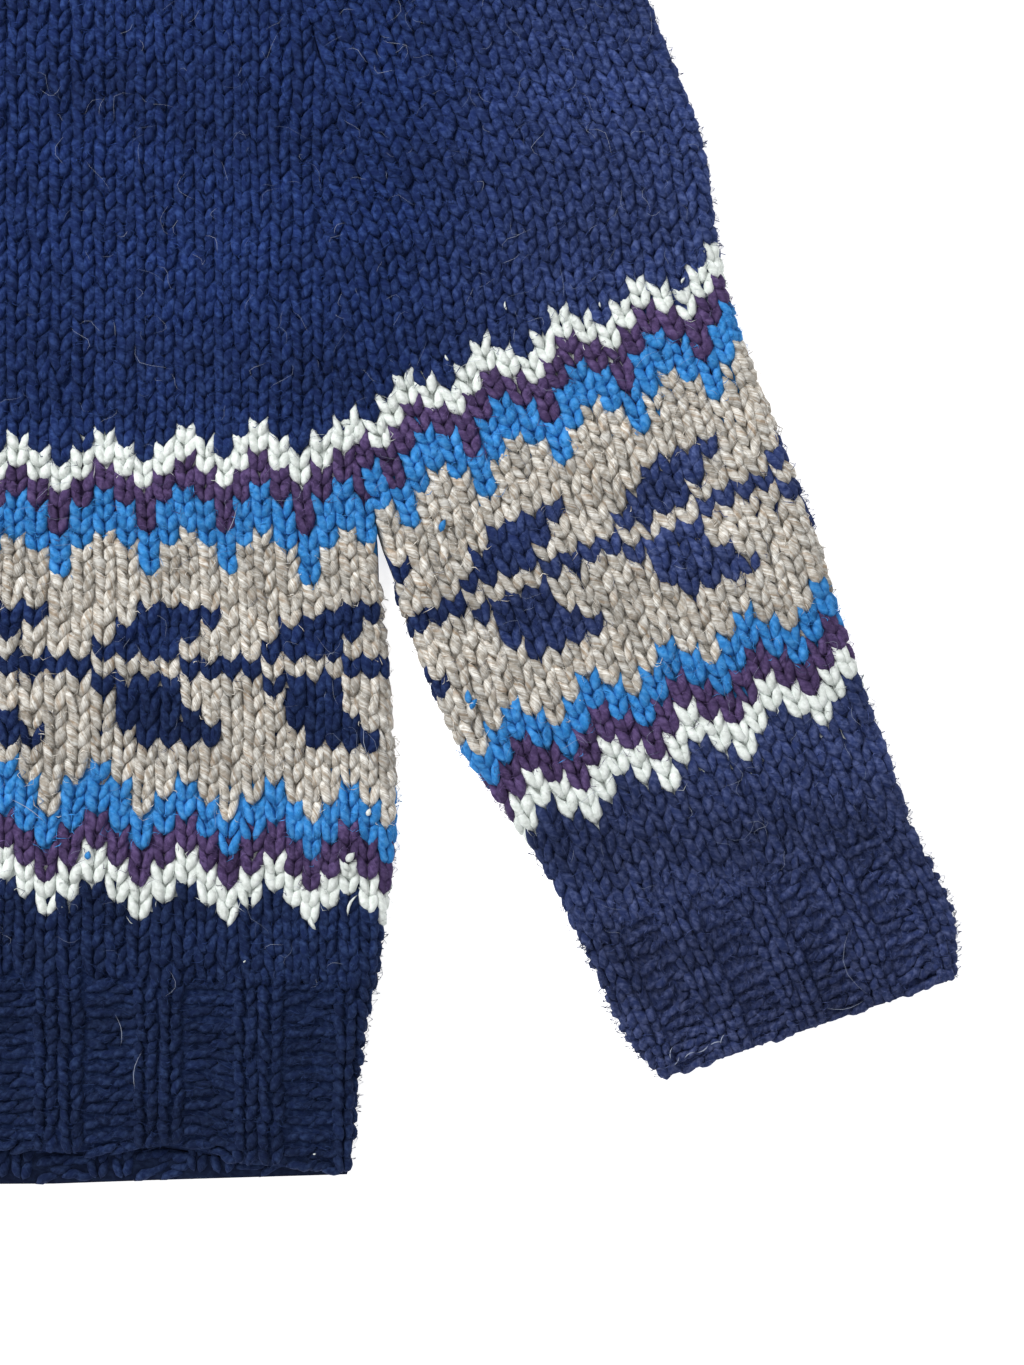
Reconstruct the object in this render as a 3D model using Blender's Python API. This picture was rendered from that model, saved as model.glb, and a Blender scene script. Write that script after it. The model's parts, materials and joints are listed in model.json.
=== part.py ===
"""A hand-knitted fair isle pullover in bulky wool, laid flat on its back with its front up.

Frame: metres, +Z up, +X towards the wearer's left, +Y from the hem to the neck. The origin is on the surface
that the pullover lies on, under the middle of its outline. The sizes below are in millimetres, taken sideways
from the centre line and upwards from the back's hem; the last step turns them into metres.

The front and back are panels with a ribbed hem, the sleeves are flattened tubes with a ribbed cuff, each cut
open along its underarm seam, and the neckband is a ribbed ring. Every piece is a wall of cloth.
"""

import math
from collections import namedtuple

import bmesh
import bpy

MM = 0.001

# The cloth, and how its layers lie on each other
WALL = 4.5
SEAM_GAP = 0.3
LAYER_GAP = 1.5
BACK_TOP = WALL
FRONT_UNDER = BACK_TOP + SEAM_GAP
FRONT_TOP = BACK_TOP + LAYER_GAP + WALL

# Rounding at the folds and seams, as a width in plan and the height of the outer points at the edge itself
FREE_ROUNDING = 8.0
JOINED_ROUNDING = 2.5
FREE_EDGE_TOP = 6.6
JOINED_EDGE_TOP = 9.2
FREE_EDGE_UNDER = 1.6
JOINED_EDGE_UNDER = 0.3
GAP_TOP_Y = 228.0
GAP_CLOSES_OVER = 14.0

# Body
SHOULDER_HALF = 212.0
SHOULDER_Y = 640.0
NECK_HALF = 95.0
NECK_Y = 668.0
FRONT_NECK_DROP = 78.0
BACK_NECK_DROP = 22.0
HEM_ROUNDING = 5.0
HEM_EDGE_DROP = 2.2
HEM_LIFT = 0.9
HEM_LIFT_OVER = 40.0

# Two-by-two rib: the pitch is one raised rib and one trough
HEM_RIB_PITCH = 35.5
CUFF_RIB_PITCH = 28.0
NECK_RIB_PITCH = 28.0
RIB_HEIGHT = 1.7
HEM_RIB_TOP = 74.0
CUFF_RIB_STATION = 2.0
RIB_FADES_OVER = 8.0

# The coloured band is knitted with two strands, so it is a little thicker than the plain cloth
BAND_LIFT = 0.7
BAND_FADES_OVER = 10.0
BODY_BAND = (108.0, 270.0)
SLEEVE_BAND = (3.3, 7.9)

# Sleeve
SLEEVE_SEAM_GAP = 0.4
FOLD_RADIUS = 5.2
FOLD_ANGLES = (-90, -45, 0, 45, 90)
FIRST_JOINED_STATION = 7
CUFF_EDGE_STATIONS = (0.0, 0.12, 0.3)
STATION_STEP = 0.5
STATION_FADE = 0.4
SHOULDER_FADE = 0.25
SHOULDER_EDGE_TOP = 7.3
TOP_STEPS = 7
# Points across a sleeve's wall: near the seam in millimetres, and elsewhere as shares of the flat width
SEAM_POINTS = (0.0, 1.0, 3.2, FREE_ROUNDING)
UNDER_POINTS = (0.45, 0.75)
INSIDE_POINTS = (0.0, 0.33, 0.67, 1.0)
LAYER_SHARE = 0.4

# Neckband
RIM_HALF = 80.0
RIM_Y = 690.0
FRONT_RIM_DROP = 72.0
BACK_RIM_DROP = 16.0
NECKBAND_FOLD_ANGLE = 18.0
NECKBAND_EDGE_DROP = 1.1
NECKBAND_LEVELS = (0.0, 0.12, 0.5, 0.88, 1.0)
FRONT_NECK_STEPS = 60
BACK_NECK_STEPS = 30

SideRow = namedtuple("SideRow", "height half_width")
BODY_SIDE = (
    SideRow(0, 245.5),
    SideRow(12, 247.5),
    SideRow(30, 248.0),
    SideRow(50, 250.5),
    SideRow(78, 255.5),
    SideRow(109, 260.0),
    SideRow(140, 262.0),
    SideRow(170, 260.0),
    SideRow(200, 257.5),
    SideRow(228, 255.5),
    SideRow(272, 245.7),
    SideRow(329, 234.5),
    SideRow(380, 238.5),
    SideRow(421, 229.0),
    SideRow(470, 218.0),
    SideRow(530, 212.0),
    SideRow(SHOULDER_Y, SHOULDER_HALF),
)

HemRow = namedtuple("HemRow", "across front back")
HEM = (
    HemRow(0, 13.4, 0.0),
    HemRow(70, 12.4, 0.6),
    HemRow(122, 12.8, 0.0),
    HemRow(158, 12.1, 0.8),
    HemRow(187, 14.9, 2.0),
    HemRow(196, 13.0, 2.1),
    HemRow(204, 8.6, 2.2),
    HemRow(221, 7.2, 3.4),
    HemRow(231, 5.6, 4.6),
    HemRow(246, 4.8, 3.6),
)

StationRow = namedtuple("StationRow", "inner_x inner_y outer_x outer_y")
SLEEVE_STATIONS = (
    StationRow(356.8, 38.3, 459.7, 77.4),
    StationRow(341.9, 55.0, 459.0, 100.1),
    StationRow(329.4, 83.1, 446.2, 127.4),
    StationRow(314.9, 112.5, 435.6, 156.9),
    StationRow(296.1, 139.9, 425.6, 185.7),
    StationRow(282.6, 160.1, 418.2, 207.3),
    StationRow(270.2, 188.5, 410.4, 235.0),
    StationRow(255.9, GAP_TOP_Y, 395.8, 271.9),
    StationRow(244.3, 279.4, 376.3, 320.2),
    StationRow(234.9, 329.1, 369.6, 373.1),
    StationRow(238.9, 375.2, 354.7, 413.6),
    StationRow(229.4, 421.4, 339.4, 455.5),
    StationRow(218.4, 470.0, 317.0, 518.0),
    StationRow(212.4, 530.0, 286.0, 573.0),
    StationRow(212.4, 585.0, 255.0, 611.0),
    StationRow(212.4, SHOULDER_Y, 229.0, 633.0),
)

# Soft ridges (height above 0) and troughs (below 0), each along a line from start to end
Fold = namedtuple("Fold", "start_x start_y end_x end_y width height")
FRONT_FOLDS = (
    Fold(205, 430, 214, 268, 15, 0.9),
    Fold(160, 330, 178, 410, 24, -0.7),
    Fold(120, 395, 30, 350, 32, 0.8),
    Fold(235, 120, 215, 15, 12, 0.7),
    Fold(190, 18, 186, 60, 9, 1.0),
    Fold(100, 120, 110, 40, 16, -0.6),
    Fold(-215, 440, -205, 290, 16, 0.8),
    Fold(-150, 300, -190, 420, 22, -0.7),
    Fold(-60, 470, 40, 500, 34, 0.9),
    Fold(-200, 70, -180, 15, 10, 0.8),
    Fold(-70, 140, -80, 30, 18, 0.6),
    Fold(-110, 560, -180, 600, 22, 0.7),
    Fold(100, 545, 180, 590, 24, 0.8),
)
LEFT_SLEEVE_FOLDS = (
    Fold(352, 300, 392, 250, 14, 0.8),
    Fold(285, 318, 372, 352, 11, -0.7),
    Fold(262, 400, 330, 420, 18, 0.7),
    Fold(380, 190, 400, 215, 14, 0.7),
    Fold(350, 95, 372, 62, 9, 0.6),
    Fold(245, 520, 285, 545, 13, -0.6),
)
RIGHT_SLEEVE_FOLDS = (
    Fold(340, 280, 385, 290, 15, 0.8),
    Fold(270, 350, 350, 372, 12, -0.7),
    Fold(300, 190, 360, 230, 16, 0.7),
    Fold(245, 470, 300, 500, 16, 0.8),
    Fold(400, 110, 420, 85, 10, 0.6),
)

# Columns of points across a panel, as shares of its half width
SIDE_COLUMNS = (1.0, 0.9955, 0.985, 0.965, 0.91, 0.80, 0.66, 0.54)
INSIDE_COLUMNS = (1.0, 0.965, 0.82, 0.64)
NECK_COLUMNS = 12
INSIDE_NECK_COLUMNS = 6
# Heights of the rows of points up a panel's side, below the stretch where a sleeve lies against it
LOWER_ROWS = (4.8, 7.3, 9.8, 34.0, 58.0, 70.0, 80.0, 104.0, 114.0, 140.0, 170.0, 196.0, 214.0)
SHOULDER_ROWS = (632.0, 637.5)
# Places across one rib pitch, and how far the cloth stands up there, as shares
RibPoint = namedtuple("RibPoint", "place rise")
RIB_PROFILE = (
    RibPoint(-0.27, 0.0),
    RibPoint(-0.20, 0.8),
    RibPoint(0.0, 1.0),
    RibPoint(0.20, 0.8),
    RibPoint(0.27, 0.0),
)

Row = namedtuple("Row", "shares points")


def curve_through(places, values):
    """A smooth function through the points, with slopes taken from each point's neighbours."""
    last = len(places) - 1

    def slope(i):
        low, high = max(i - 1, 0), min(i + 1, last)
        return (values[high] - values[low]) / (places[high] - places[low])

    def value(at):
        at = min(max(at, places[0]), places[last])
        i = next(k for k in range(last) if at <= places[k + 1])
        step = places[i + 1] - places[i]
        t = (at - places[i]) / step
        return (
            (2 * t**3 - 3 * t**2 + 1) * values[i]
            + (t**3 - 2 * t**2 + t) * step * slope(i)
            + (3 * t**2 - 2 * t**3) * values[i + 1]
            + (t**3 - t**2) * step * slope(i + 1)
        )

    return value


half_width = curve_through([r.height for r in BODY_SIDE], [r.half_width for r in BODY_SIDE])
front_hem = curve_through([r.across for r in HEM], [r.front for r in HEM])
back_hem = curve_through([r.across for r in HEM], [r.back for r in HEM])


def soft_step(value, low, high):
    """0 below low, 1 above high, and a smooth rise between them."""
    t = min(max((value - low) / (high - low), 0.0), 1.0)
    return t * t * (3 - 2 * t)


def quarter_round(distance, radius):
    """0 at an edge and 1 from the radius inwards, along a quarter of a circle."""
    t = min(max(distance / radius, 0.0), 1.0)
    return math.sqrt(1 - (1 - t) ** 2)


def plateau(value, low, high, fade):
    """1 between low and high and 0 outside them, with a soft rise and fall."""
    return soft_step(value, low - fade / 2, low + fade / 2) * (
        1 - soft_step(value, high - fade / 2, high + fade / 2)
    )


def fold_height(folds, x, y):
    """The sum of the soft ridges and troughs at a point."""
    total = 0.0
    for f in folds:
        run_x, run_y = f.end_x - f.start_x, f.end_y - f.start_y
        along = ((x - f.start_x) * run_x + (y - f.start_y) * run_y) / (run_x**2 + run_y**2)
        along = min(max(along, 0.0), 1.0)
        off = math.hypot(x - f.start_x - along * run_x, y - f.start_y - along * run_y)
        total += f.height * math.exp(-((off / f.width) ** 2))
    return total


def rib_rise(place):
    """The height of a raised rib, as a share, at a place counted in pitches from a rib's middle."""
    off = place - round(place)
    if abs(off) >= RIB_PROFILE[-1].place:
        return 0.0
    i = next(k for k in range(len(RIB_PROFILE) - 1) if off <= RIB_PROFILE[k + 1].place)
    low, high = RIB_PROFILE[i], RIB_PROFILE[i + 1]
    return low.rise + (high.rise - low.rise) * (off - low.place) / (high.place - low.place)


def rib_places(pitch, low, high):
    """Places between low and high that catch every corner of the ribs."""
    first, last = math.floor(low / pitch), math.ceil(high / pitch)
    every = [pitch * (k + p.place) for k in range(first, last + 1) for p in RIB_PROFILE]
    return [x for x in every if low < x < high]


def wall_object(name, outer_rows, inner_rows, material, closed=False):
    """One closed wall of cloth between its outer and its inner face, each given as rows of points."""
    vertices, faces = [], []

    def add(row):
        start = len(vertices)
        vertices.extend(row.points)
        indices = list(range(start, len(vertices)))
        return row.shares, indices + indices[:1] if closed else indices

    def join(row_a, row_b):
        """Fills the strip between two rows that may have different numbers of points."""
        (shares_a, a), (shares_b, b) = row_a, row_b
        i = k = 0
        while i < len(a) - 1 or k < len(b) - 1:
            step_a = i < len(a) - 1 and (
                k == len(b) - 1 or shares_a[i + 1] <= shares_b[k + 1] + 1e-9
            )
            step_b = k < len(b) - 1 and (
                i == len(a) - 1 or shares_b[k + 1] <= shares_a[i + 1] + 1e-9
            )
            if step_a and step_b:
                faces.append((a[i], a[i + 1], b[k + 1], b[k]))
            elif step_a:
                faces.append((a[i], a[i + 1], b[k]))
            else:
                faces.append((a[i], b[k + 1], b[k]))
            i, k = i + step_a, k + step_b

    outer, inner = [add(r) for r in outer_rows], [add(r) for r in inner_rows]
    for rows in (outer, inner):
        for row_a, row_b in zip(rows, rows[1:]):
            join(row_a, row_b)
    join(outer[0], inner[0])
    join(outer[-1], inner[-1])
    if not closed:
        for k in range(len(outer) - 1):
            for end in (0, -1):
                faces.append(
                    (outer[k][1][end], outer[k + 1][1][end], inner[k + 1][1][end], inner[k][1][end])
                )
    mesh = bpy.data.meshes.new(name)
    mesh.from_pydata([tuple(c * MM for c in v) for v in vertices], [], faces)
    bm = bmesh.new()
    bm.from_mesh(mesh)
    bmesh.ops.triangulate(bm, faces=bm.faces)
    bmesh.ops.recalc_face_normals(bm, faces=bm.faces)
    bm.to_mesh(mesh)
    bm.free()
    mesh.shade_smooth()
    mesh.set_sharp_from_angle(angle=math.radians(40))
    mesh.materials.append(material)
    obj = bpy.data.objects.new(name, mesh)
    bpy.context.scene.collection.objects.link(obj)
    return obj


def wool(name, colour):
    """A matt woollen finish."""
    material = bpy.data.materials.new(name)
    material.use_nodes = True
    shader = material.node_tree.nodes["Principled BSDF"]
    shader.inputs["Base Color"].default_value = (*colour, 1)
    shader.inputs["Roughness"].default_value = 0.95
    shader.inputs["Metallic"].default_value = 0.0
    return material


def joined(y):
    """0 where a body or sleeve edge is free and 1 where the two lie against each other."""
    return soft_step(y, GAP_TOP_Y - GAP_CLOSES_OVER, GAP_TOP_Y + GAP_CLOSES_OVER)


def mixed(low, high, share):
    """The value that lies that share of the way from low to high."""
    return low + (high - low) * share


def edge_top(full, distance, share):
    """The height of a wall's outer points near a side edge, seen from above."""
    radius = mixed(FREE_ROUNDING, JOINED_ROUNDING, share)
    low = mixed(FREE_EDGE_TOP, JOINED_EDGE_TOP, share)
    return low + (full - low) * quarter_round(distance, radius)


def edge_under(distance, share):
    """The height of a lower wall's outer points near a side edge, which lifts off the surface there."""
    radius = mixed(FREE_ROUNDING, JOINED_ROUNDING, share)
    low = mixed(FREE_EDGE_UNDER, JOINED_EDGE_UNDER, share)
    return low * (1 - quarter_round(distance, radius))


def sleeve_edges():
    """The inner and outer edge of the left sleeve in plan, as functions of the station number."""
    numbers = range(len(SLEEVE_STATIONS))
    columns = [
        curve_through(numbers, [getattr(row, name) for row in SLEEVE_STATIONS])
        for name in StationRow._fields
    ]

    def inner(station):
        x, y = columns[0](station), columns[1](station)
        if station >= FIRST_JOINED_STATION:
            x = half_width(y) + SLEEVE_SEAM_GAP
        return x, y

    def outer(station):
        return columns[2](station), columns[3](station)

    return inner, outer


sleeve_inner, sleeve_outer = sleeve_edges()


def station_numbers():
    """The stations at which a sleeve has a ring of points, from the cuff to the shoulder."""
    last = len(SLEEVE_STATIONS) - 1
    steps = round(last / STATION_STEP)
    return [*CUFF_EDGE_STATIONS, *(k * STATION_STEP for k in range(1, steps + 1))]


def panel_row_heights():
    """Heights of a panel's rows at its side. Where a sleeve lies against it, they are the sleeve's own."""
    against = [sleeve_inner(s)[1] for s in station_numbers() if s >= FIRST_JOINED_STATION]
    below = [y for y in against if y < SHOULDER_ROWS[0] - 5]
    return [*LOWER_ROWS, *below, *SHOULDER_ROWS, SHOULDER_Y]


def neck_arc(half, drop, centre_y, steps):
    """Points round half of a neckline, from the wearer's right to the left."""
    angles = [math.pi * (1 - k / steps) for k in range(steps + 1)]
    return [(half * math.cos(a), centre_y - drop * math.sin(a)) for a in angles]


def shoulder_line(across):
    """The height of the shoulder seam above the hem."""
    share = (abs(across) - NECK_HALF) / (SHOULDER_HALF - NECK_HALF)
    return NECK_Y + (SHOULDER_Y - NECK_Y) * share


def top_edge(across, neck_drop):
    """The height of a panel's top edge: the neckline in the middle and the shoulders beside it."""
    if abs(across) >= NECK_HALF:
        return shoulder_line(across)
    return NECK_Y - neck_drop * math.sqrt(1 - (across / NECK_HALF) ** 2)


def columns_of(sides, neck_steps):
    """Shares of the half width, from -1 to 1, for a row of points across a panel."""
    right = [s for s in sides if s > NECK_HALF / SHOULDER_HALF]
    neck = [x / SHOULDER_HALF for x, _ in neck_arc(NECK_HALF, 1.0, 0.0, neck_steps)]
    return [-s for s in right] + neck + right[::-1]


def neck_steps(side_height, fine, coarse):
    """How many steps a row has across the neck: the rows near the neckline follow its curve closely."""
    return fine if side_height >= SHOULDER_ROWS[0] else coarse


def rib_columns(width):
    """Shares of the half width that catch the corners of the hem's ribs."""
    sides = [s for s in SIDE_COLUMNS if s > 1 - 1.5 * FREE_ROUNDING / width]
    inside = (sides[-1] - 0.005) * width
    ribs = [x / width for x in rib_places(HEM_RIB_PITCH, -inside, inside)]
    return [-s for s in sides] + ribs + sides[::-1]


def hem_rib(x, y):
    """How far the hem's ribs stand up at a point."""
    fade = soft_step(y, HEM_RIB_TOP - RIB_FADES_OVER, HEM_RIB_TOP + RIB_FADES_OVER)
    return RIB_HEIGHT * rib_rise(x / HEM_RIB_PITCH) * (1 - fade)


def front_outer_height(x, y, hem):
    """The height of the front's outer face: rounded at the sides and shoulders, with ribs, band and folds."""
    band = BAND_LIFT * plateau(y, *BODY_BAND, BAND_FADES_OVER)
    lift = HEM_LIFT * (1 - soft_step(y - hem, 0, HEM_LIFT_OVER))
    full = FRONT_TOP + hem_rib(x, y) + band + lift + fold_height(FRONT_FOLDS, x, y)
    full -= HEM_EDGE_DROP * (1 - quarter_round(y - hem, HEM_ROUNDING))
    height = edge_top(full, half_width(y) - abs(x), joined(y))
    if abs(x) >= NECK_HALF:
        height = min(height, edge_top(full, shoulder_line(x) - y, 0.0))
    return height


def panel_rows(columns_at, hem_curve, neck_drop, height_of):
    """The rows of points of one face of a panel, from the hem to the top edge.

    A row lies the same share of the way up every column, and each column keeps its share of the half width.
    """
    rows = []
    heights = panel_row_heights()
    for side_height in heights:
        rise = (side_height - heights[0]) / (heights[-1] - heights[0])
        shares = columns_at(side_height)
        points = []
        for share in shares:
            hem = hem_curve(abs(share) * half_width(0))
            top = top_edge(share * SHOULDER_HALF, neck_drop)
            x, y = share * half_width(side_height), hem + (top - hem) * rise
            points.append((x, y, height_of(x, y, hem, abs(share))))
        rows.append(Row(shares, points))
    return rows


def make_front(material):
    """The front: ribs and folds raised in its outer face over a plain inside."""

    def outer_columns(side_height):
        if side_height <= HEM_RIB_TOP + RIB_FADES_OVER:
            return rib_columns(half_width(side_height))
        return columns_of(SIDE_COLUMNS, neck_steps(side_height, FRONT_NECK_STEPS, NECK_COLUMNS))

    def inner_columns(side_height):
        sides = SIDE_COLUMNS[:1] + SIDE_COLUMNS[3:]
        return columns_of(sides, neck_steps(side_height, FRONT_NECK_STEPS, NECK_COLUMNS))

    def outer_height(x, y, hem, _):
        return front_outer_height(x, y, hem)

    def inner_height(x, y, hem, share):
        plain = front_outer_height(x, y, hem) - hem_rib(x, y) - WALL
        return FRONT_UNDER if share == 1.0 else max(FRONT_UNDER, plain)

    return wall_object(
        "front",
        panel_rows(outer_columns, front_hem, FRONT_NECK_DROP, outer_height),
        panel_rows(inner_columns, front_hem, FRONT_NECK_DROP, inner_height),
        material,
    )


def make_back(material):
    """The back: flat underneath, where it rests, and plain on its inside."""

    def columns(side_height):
        steps = neck_steps(side_height, BACK_NECK_STEPS, INSIDE_NECK_COLUMNS)
        return columns_of(INSIDE_COLUMNS, steps)

    def under_columns(side_height):
        steps = neck_steps(side_height, BACK_NECK_STEPS, INSIDE_NECK_COLUMNS)
        return columns_of(SIDE_COLUMNS[:4] + INSIDE_COLUMNS[2:], steps)

    def under_height(x, y, hem, share):
        height = edge_under(half_width(y) - abs(x), joined(y))
        if share * SHOULDER_HALF >= NECK_HALF:
            height = max(height, edge_under(shoulder_line(share * SHOULDER_HALF) - y, 0.0))
        return max(height, FREE_EDGE_UNDER * (1 - quarter_round(y - hem, HEM_ROUNDING)))

    return wall_object(
        "back",
        panel_rows(under_columns, back_hem, BACK_NECK_DROP, under_height),
        panel_rows(columns, back_hem, BACK_NECK_DROP, lambda *_: BACK_TOP),
        material,
    )


def sleeve_ring(station, folds):
    """The outer and inner points of the sleeve's wall at one station.

    Each runs from the underarm seam along the under layer, round the outer fold and back along the top layer.
    A point's share of the way counts the under layer as 0 to 0.4, the fold as 0.4 to 0.6 and the top as the rest.
    """
    (inner_x, inner_y), (outer_x, outer_y) = sleeve_inner(station), sleeve_outer(station)
    width = math.hypot(outer_x - inner_x, outer_y - inner_y)
    step_x, step_y = (outer_x - inner_x) / width, (outer_y - inner_y) / width
    flat = width - FOLD_RADIUS
    last = len(SLEEVE_STATIONS) - 1
    against = joined(inner_y)
    shoulder = quarter_round(last - station, SHOULDER_FADE)
    rib = 1 - soft_step(station, CUFF_RIB_STATION - SHOULDER_FADE, CUFF_RIB_STATION + SHOULDER_FADE)
    band = plateau(station, *SLEEVE_BAND, STATION_FADE)
    cuff_drop = HEM_EDGE_DROP * (1 - quarter_round(station, CUFF_EDGE_STATIONS[-1]))

    def place(distance, height):
        return (inner_x + step_x * distance, inner_y + step_y * distance, height)

    def top_height(distance):
        x, y, _ = place(distance, 0)
        rise = RIB_HEIGHT * rib * rib_rise((distance - width / 2) / CUFF_RIB_PITCH)
        full = FRONT_TOP + rise + BAND_LIFT * band + fold_height(folds, x, y) - cuff_drop
        full = mixed(SHOULDER_EDGE_TOP, full, shoulder)
        return edge_top(full, distance, against) if shoulder == 1 else full

    near = [d for d in SEAM_POINTS if d < flat]
    if rib:
        ribs = rib_places(CUFF_RIB_PITCH, near[-1] - width / 2, flat - width / 2)
        across = [d + width / 2 for d in ribs]
    else:
        across = [near[-1] + (flat - near[-1]) * k / TOP_STEPS for k in range(1, TOP_STEPS)]
    turns = [math.radians(a) for a in FOLD_ANGLES]
    fold_top = top_height(flat)
    ceiling = max(FRONT_UNDER, fold_top - WALL)
    outer = [(LAYER_SHARE * d / flat, place(d, edge_under(d, against))) for d in near]
    outer += [(LAYER_SHARE * s, place(s * flat, 0.0)) for s in UNDER_POINTS]
    for a in turns:
        share = 0.5 + (1 - 2 * LAYER_SHARE) * a / math.pi
        height = fold_top / 2 * (1 + math.sin(a))
        outer.append((share, place(flat + FOLD_RADIUS * math.cos(a), height)))
    for d in sorted(near + across, reverse=True):
        outer.append((1 - LAYER_SHARE * d / flat, place(d, top_height(d))))
    inner = [(LAYER_SHARE * s, place(s * flat, BACK_TOP)) for s in INSIDE_POINTS]
    inner.append((0.5, place(flat + FOLD_RADIUS - WALL, (BACK_TOP + ceiling) / 2)))
    for s in reversed(INSIDE_POINTS):
        inner.append((1 - LAYER_SHARE * s, place(s * flat, ceiling if s else FRONT_UNDER)))
    return [Row([s for s, _ in side], [p for _, p in side]) for side in (outer, inner)]


def make_sleeve(name, side, folds, material):
    """A sleeve: side is 1 for the wearer's left and -1 for the right, which is its mirror image."""
    rings = [sleeve_ring(s, folds) for s in station_numbers()]

    def turned(row):
        return Row(row.shares, [(side * x, y, z) for x, y, z in row.points])

    return wall_object(
        name, [turned(outer) for outer, _ in rings], [turned(inner) for _, inner in rings], material
    )


def neckband_height(angle):
    """How far the neckband has turned from its side fold to lying flat, from 0 to 1."""
    from_fold = min(abs(angle), abs(math.pi - angle))
    return quarter_round(from_fold, math.radians(NECKBAND_FOLD_ANGLE))


def make_neckband(material):
    """The neckband: a ring of rib that rises from both necklines, its front wall lying on its back wall."""
    middle = (BACK_TOP + FRONT_UNDER) / 2
    front_top = FRONT_TOP - LAYER_GAP / 2
    front_angles = [math.pi * k / FRONT_NECK_STEPS for k in range(FRONT_NECK_STEPS + 1)]
    back_angles = [math.pi * k / BACK_NECK_STEPS for k in range(1, BACK_NECK_STEPS)]
    front_length = math.pi * math.sqrt((NECK_HALF**2 + FRONT_NECK_DROP**2) / 2)
    ribs_round = round(front_length / NECK_RIB_PITCH)

    def level_points(level):
        half = mixed(NECK_HALF - SEAM_GAP, RIM_HALF, level)
        centre = mixed(NECK_Y, RIM_Y, level)
        front_drop = mixed(FRONT_NECK_DROP - SEAM_GAP, FRONT_RIM_DROP, level)
        back_drop = mixed(BACK_NECK_DROP - SEAM_GAP, BACK_RIM_DROP, level)
        rounded = NECKBAND_EDGE_DROP if level in (0.0, 1.0) else 0.0
        outer, inner = [], []
        for angle in front_angles:
            flat = neckband_height(angle)
            rise = RIB_HEIGHT * rib_rise(ribs_round * angle / math.pi)
            x, y = half * math.cos(angle), centre - front_drop * math.sin(angle)
            outer.append((x, y, mixed(middle, front_top - rounded + rise, flat)))
            inner.append((x * (1 - WALL * (1 - flat) / half), y, mixed(middle, FRONT_UNDER, flat)))
        for angle in back_angles:
            flat = neckband_height(angle)
            x, y = -half * math.cos(angle), centre - back_drop * math.sin(angle)
            outer.append((x, y, mixed(middle, rounded, flat)))
            inner.append((x * (1 - WALL * (1 - flat) / half), y, mixed(middle, BACK_TOP, flat)))
        return outer, inner

    levels = [level_points(level) for level in NECKBAND_LEVELS]
    count = len(levels[0][0])
    shares = [k / count for k in range(count + 1)]
    return wall_object(
        "neckband",
        [Row(shares, outer) for outer, _ in levels],
        [Row(shares, inner) for _, inner in levels],
        material,
        closed=True,
    )


def centre_on_origin(objects):
    """Moves every mesh so that the origin is under the middle of the garment's outline."""
    corners = [v.co for obj in objects for v in obj.data.vertices]
    middle_x = (min(c.x for c in corners) + max(c.x for c in corners)) / 2
    middle_y = (min(c.y for c in corners) + max(c.y for c in corners)) / 2
    for obj in objects:
        for vertex in obj.data.vertices:
            vertex.co.x -= middle_x
            vertex.co.y -= middle_y


def main():
    """Builds the pullover."""
    for obj in list(bpy.data.objects):
        bpy.data.objects.remove(obj)
    navy = wool("navy_wool", (0.013, 0.021, 0.092))
    pieces = [
        make_front(navy),
        make_back(navy),
        make_sleeve("sleeve_left", 1, LEFT_SLEEVE_FOLDS, navy),
        make_sleeve("sleeve_right", -1, RIGHT_SLEEVE_FOLDS, navy),
        make_neckband(navy),
    ]
    centre_on_origin(pieces)


main()
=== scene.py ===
"""The looks of a hand-knitted fair isle pullover in bulky wool, laid flat on its back with its front up.

Sizes are in millimetres, taken sideways from the centre line and upwards from the back's hem, as they were
measured on the garment. `in_frame` turns them into the frame's metres. Knitting is placed by stitch: a
column number counts stitches across, a row number counts rows down from the band's first white row.
"""

import json
import logging
import math
from collections.abc import Callable
from dataclasses import dataclass, field
from enum import Enum

import bpy
import numpy as np
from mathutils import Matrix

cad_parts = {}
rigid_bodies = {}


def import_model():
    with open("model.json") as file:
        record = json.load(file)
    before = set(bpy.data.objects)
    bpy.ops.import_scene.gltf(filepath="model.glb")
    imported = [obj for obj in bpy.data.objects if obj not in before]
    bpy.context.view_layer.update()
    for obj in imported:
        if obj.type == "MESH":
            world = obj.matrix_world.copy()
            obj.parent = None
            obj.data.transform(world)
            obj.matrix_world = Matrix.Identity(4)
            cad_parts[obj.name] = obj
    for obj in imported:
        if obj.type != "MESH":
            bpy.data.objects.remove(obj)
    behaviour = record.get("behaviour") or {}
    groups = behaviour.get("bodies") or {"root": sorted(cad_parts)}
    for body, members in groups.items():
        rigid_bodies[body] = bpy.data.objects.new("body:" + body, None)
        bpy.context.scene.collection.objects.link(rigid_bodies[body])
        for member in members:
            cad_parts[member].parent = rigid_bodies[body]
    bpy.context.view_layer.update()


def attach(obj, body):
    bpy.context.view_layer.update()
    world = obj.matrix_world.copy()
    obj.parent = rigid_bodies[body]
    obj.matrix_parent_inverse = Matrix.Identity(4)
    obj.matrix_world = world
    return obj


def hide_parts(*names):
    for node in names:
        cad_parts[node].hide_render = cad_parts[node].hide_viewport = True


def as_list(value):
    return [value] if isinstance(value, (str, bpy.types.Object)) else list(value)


Array = np.ndarray
Pair = tuple[Array, Array]
Surface = Callable[[Array, Array], Pair]
Colour = tuple[float, float, float]
Material = bpy.types.Material
Object = bpy.types.Object

log = logging.getLogger("pullover")

MM = 0.001
GARMENT_MIDDLE_Y = 345.0
SEED = 20
TINY = 1e-9

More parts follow.
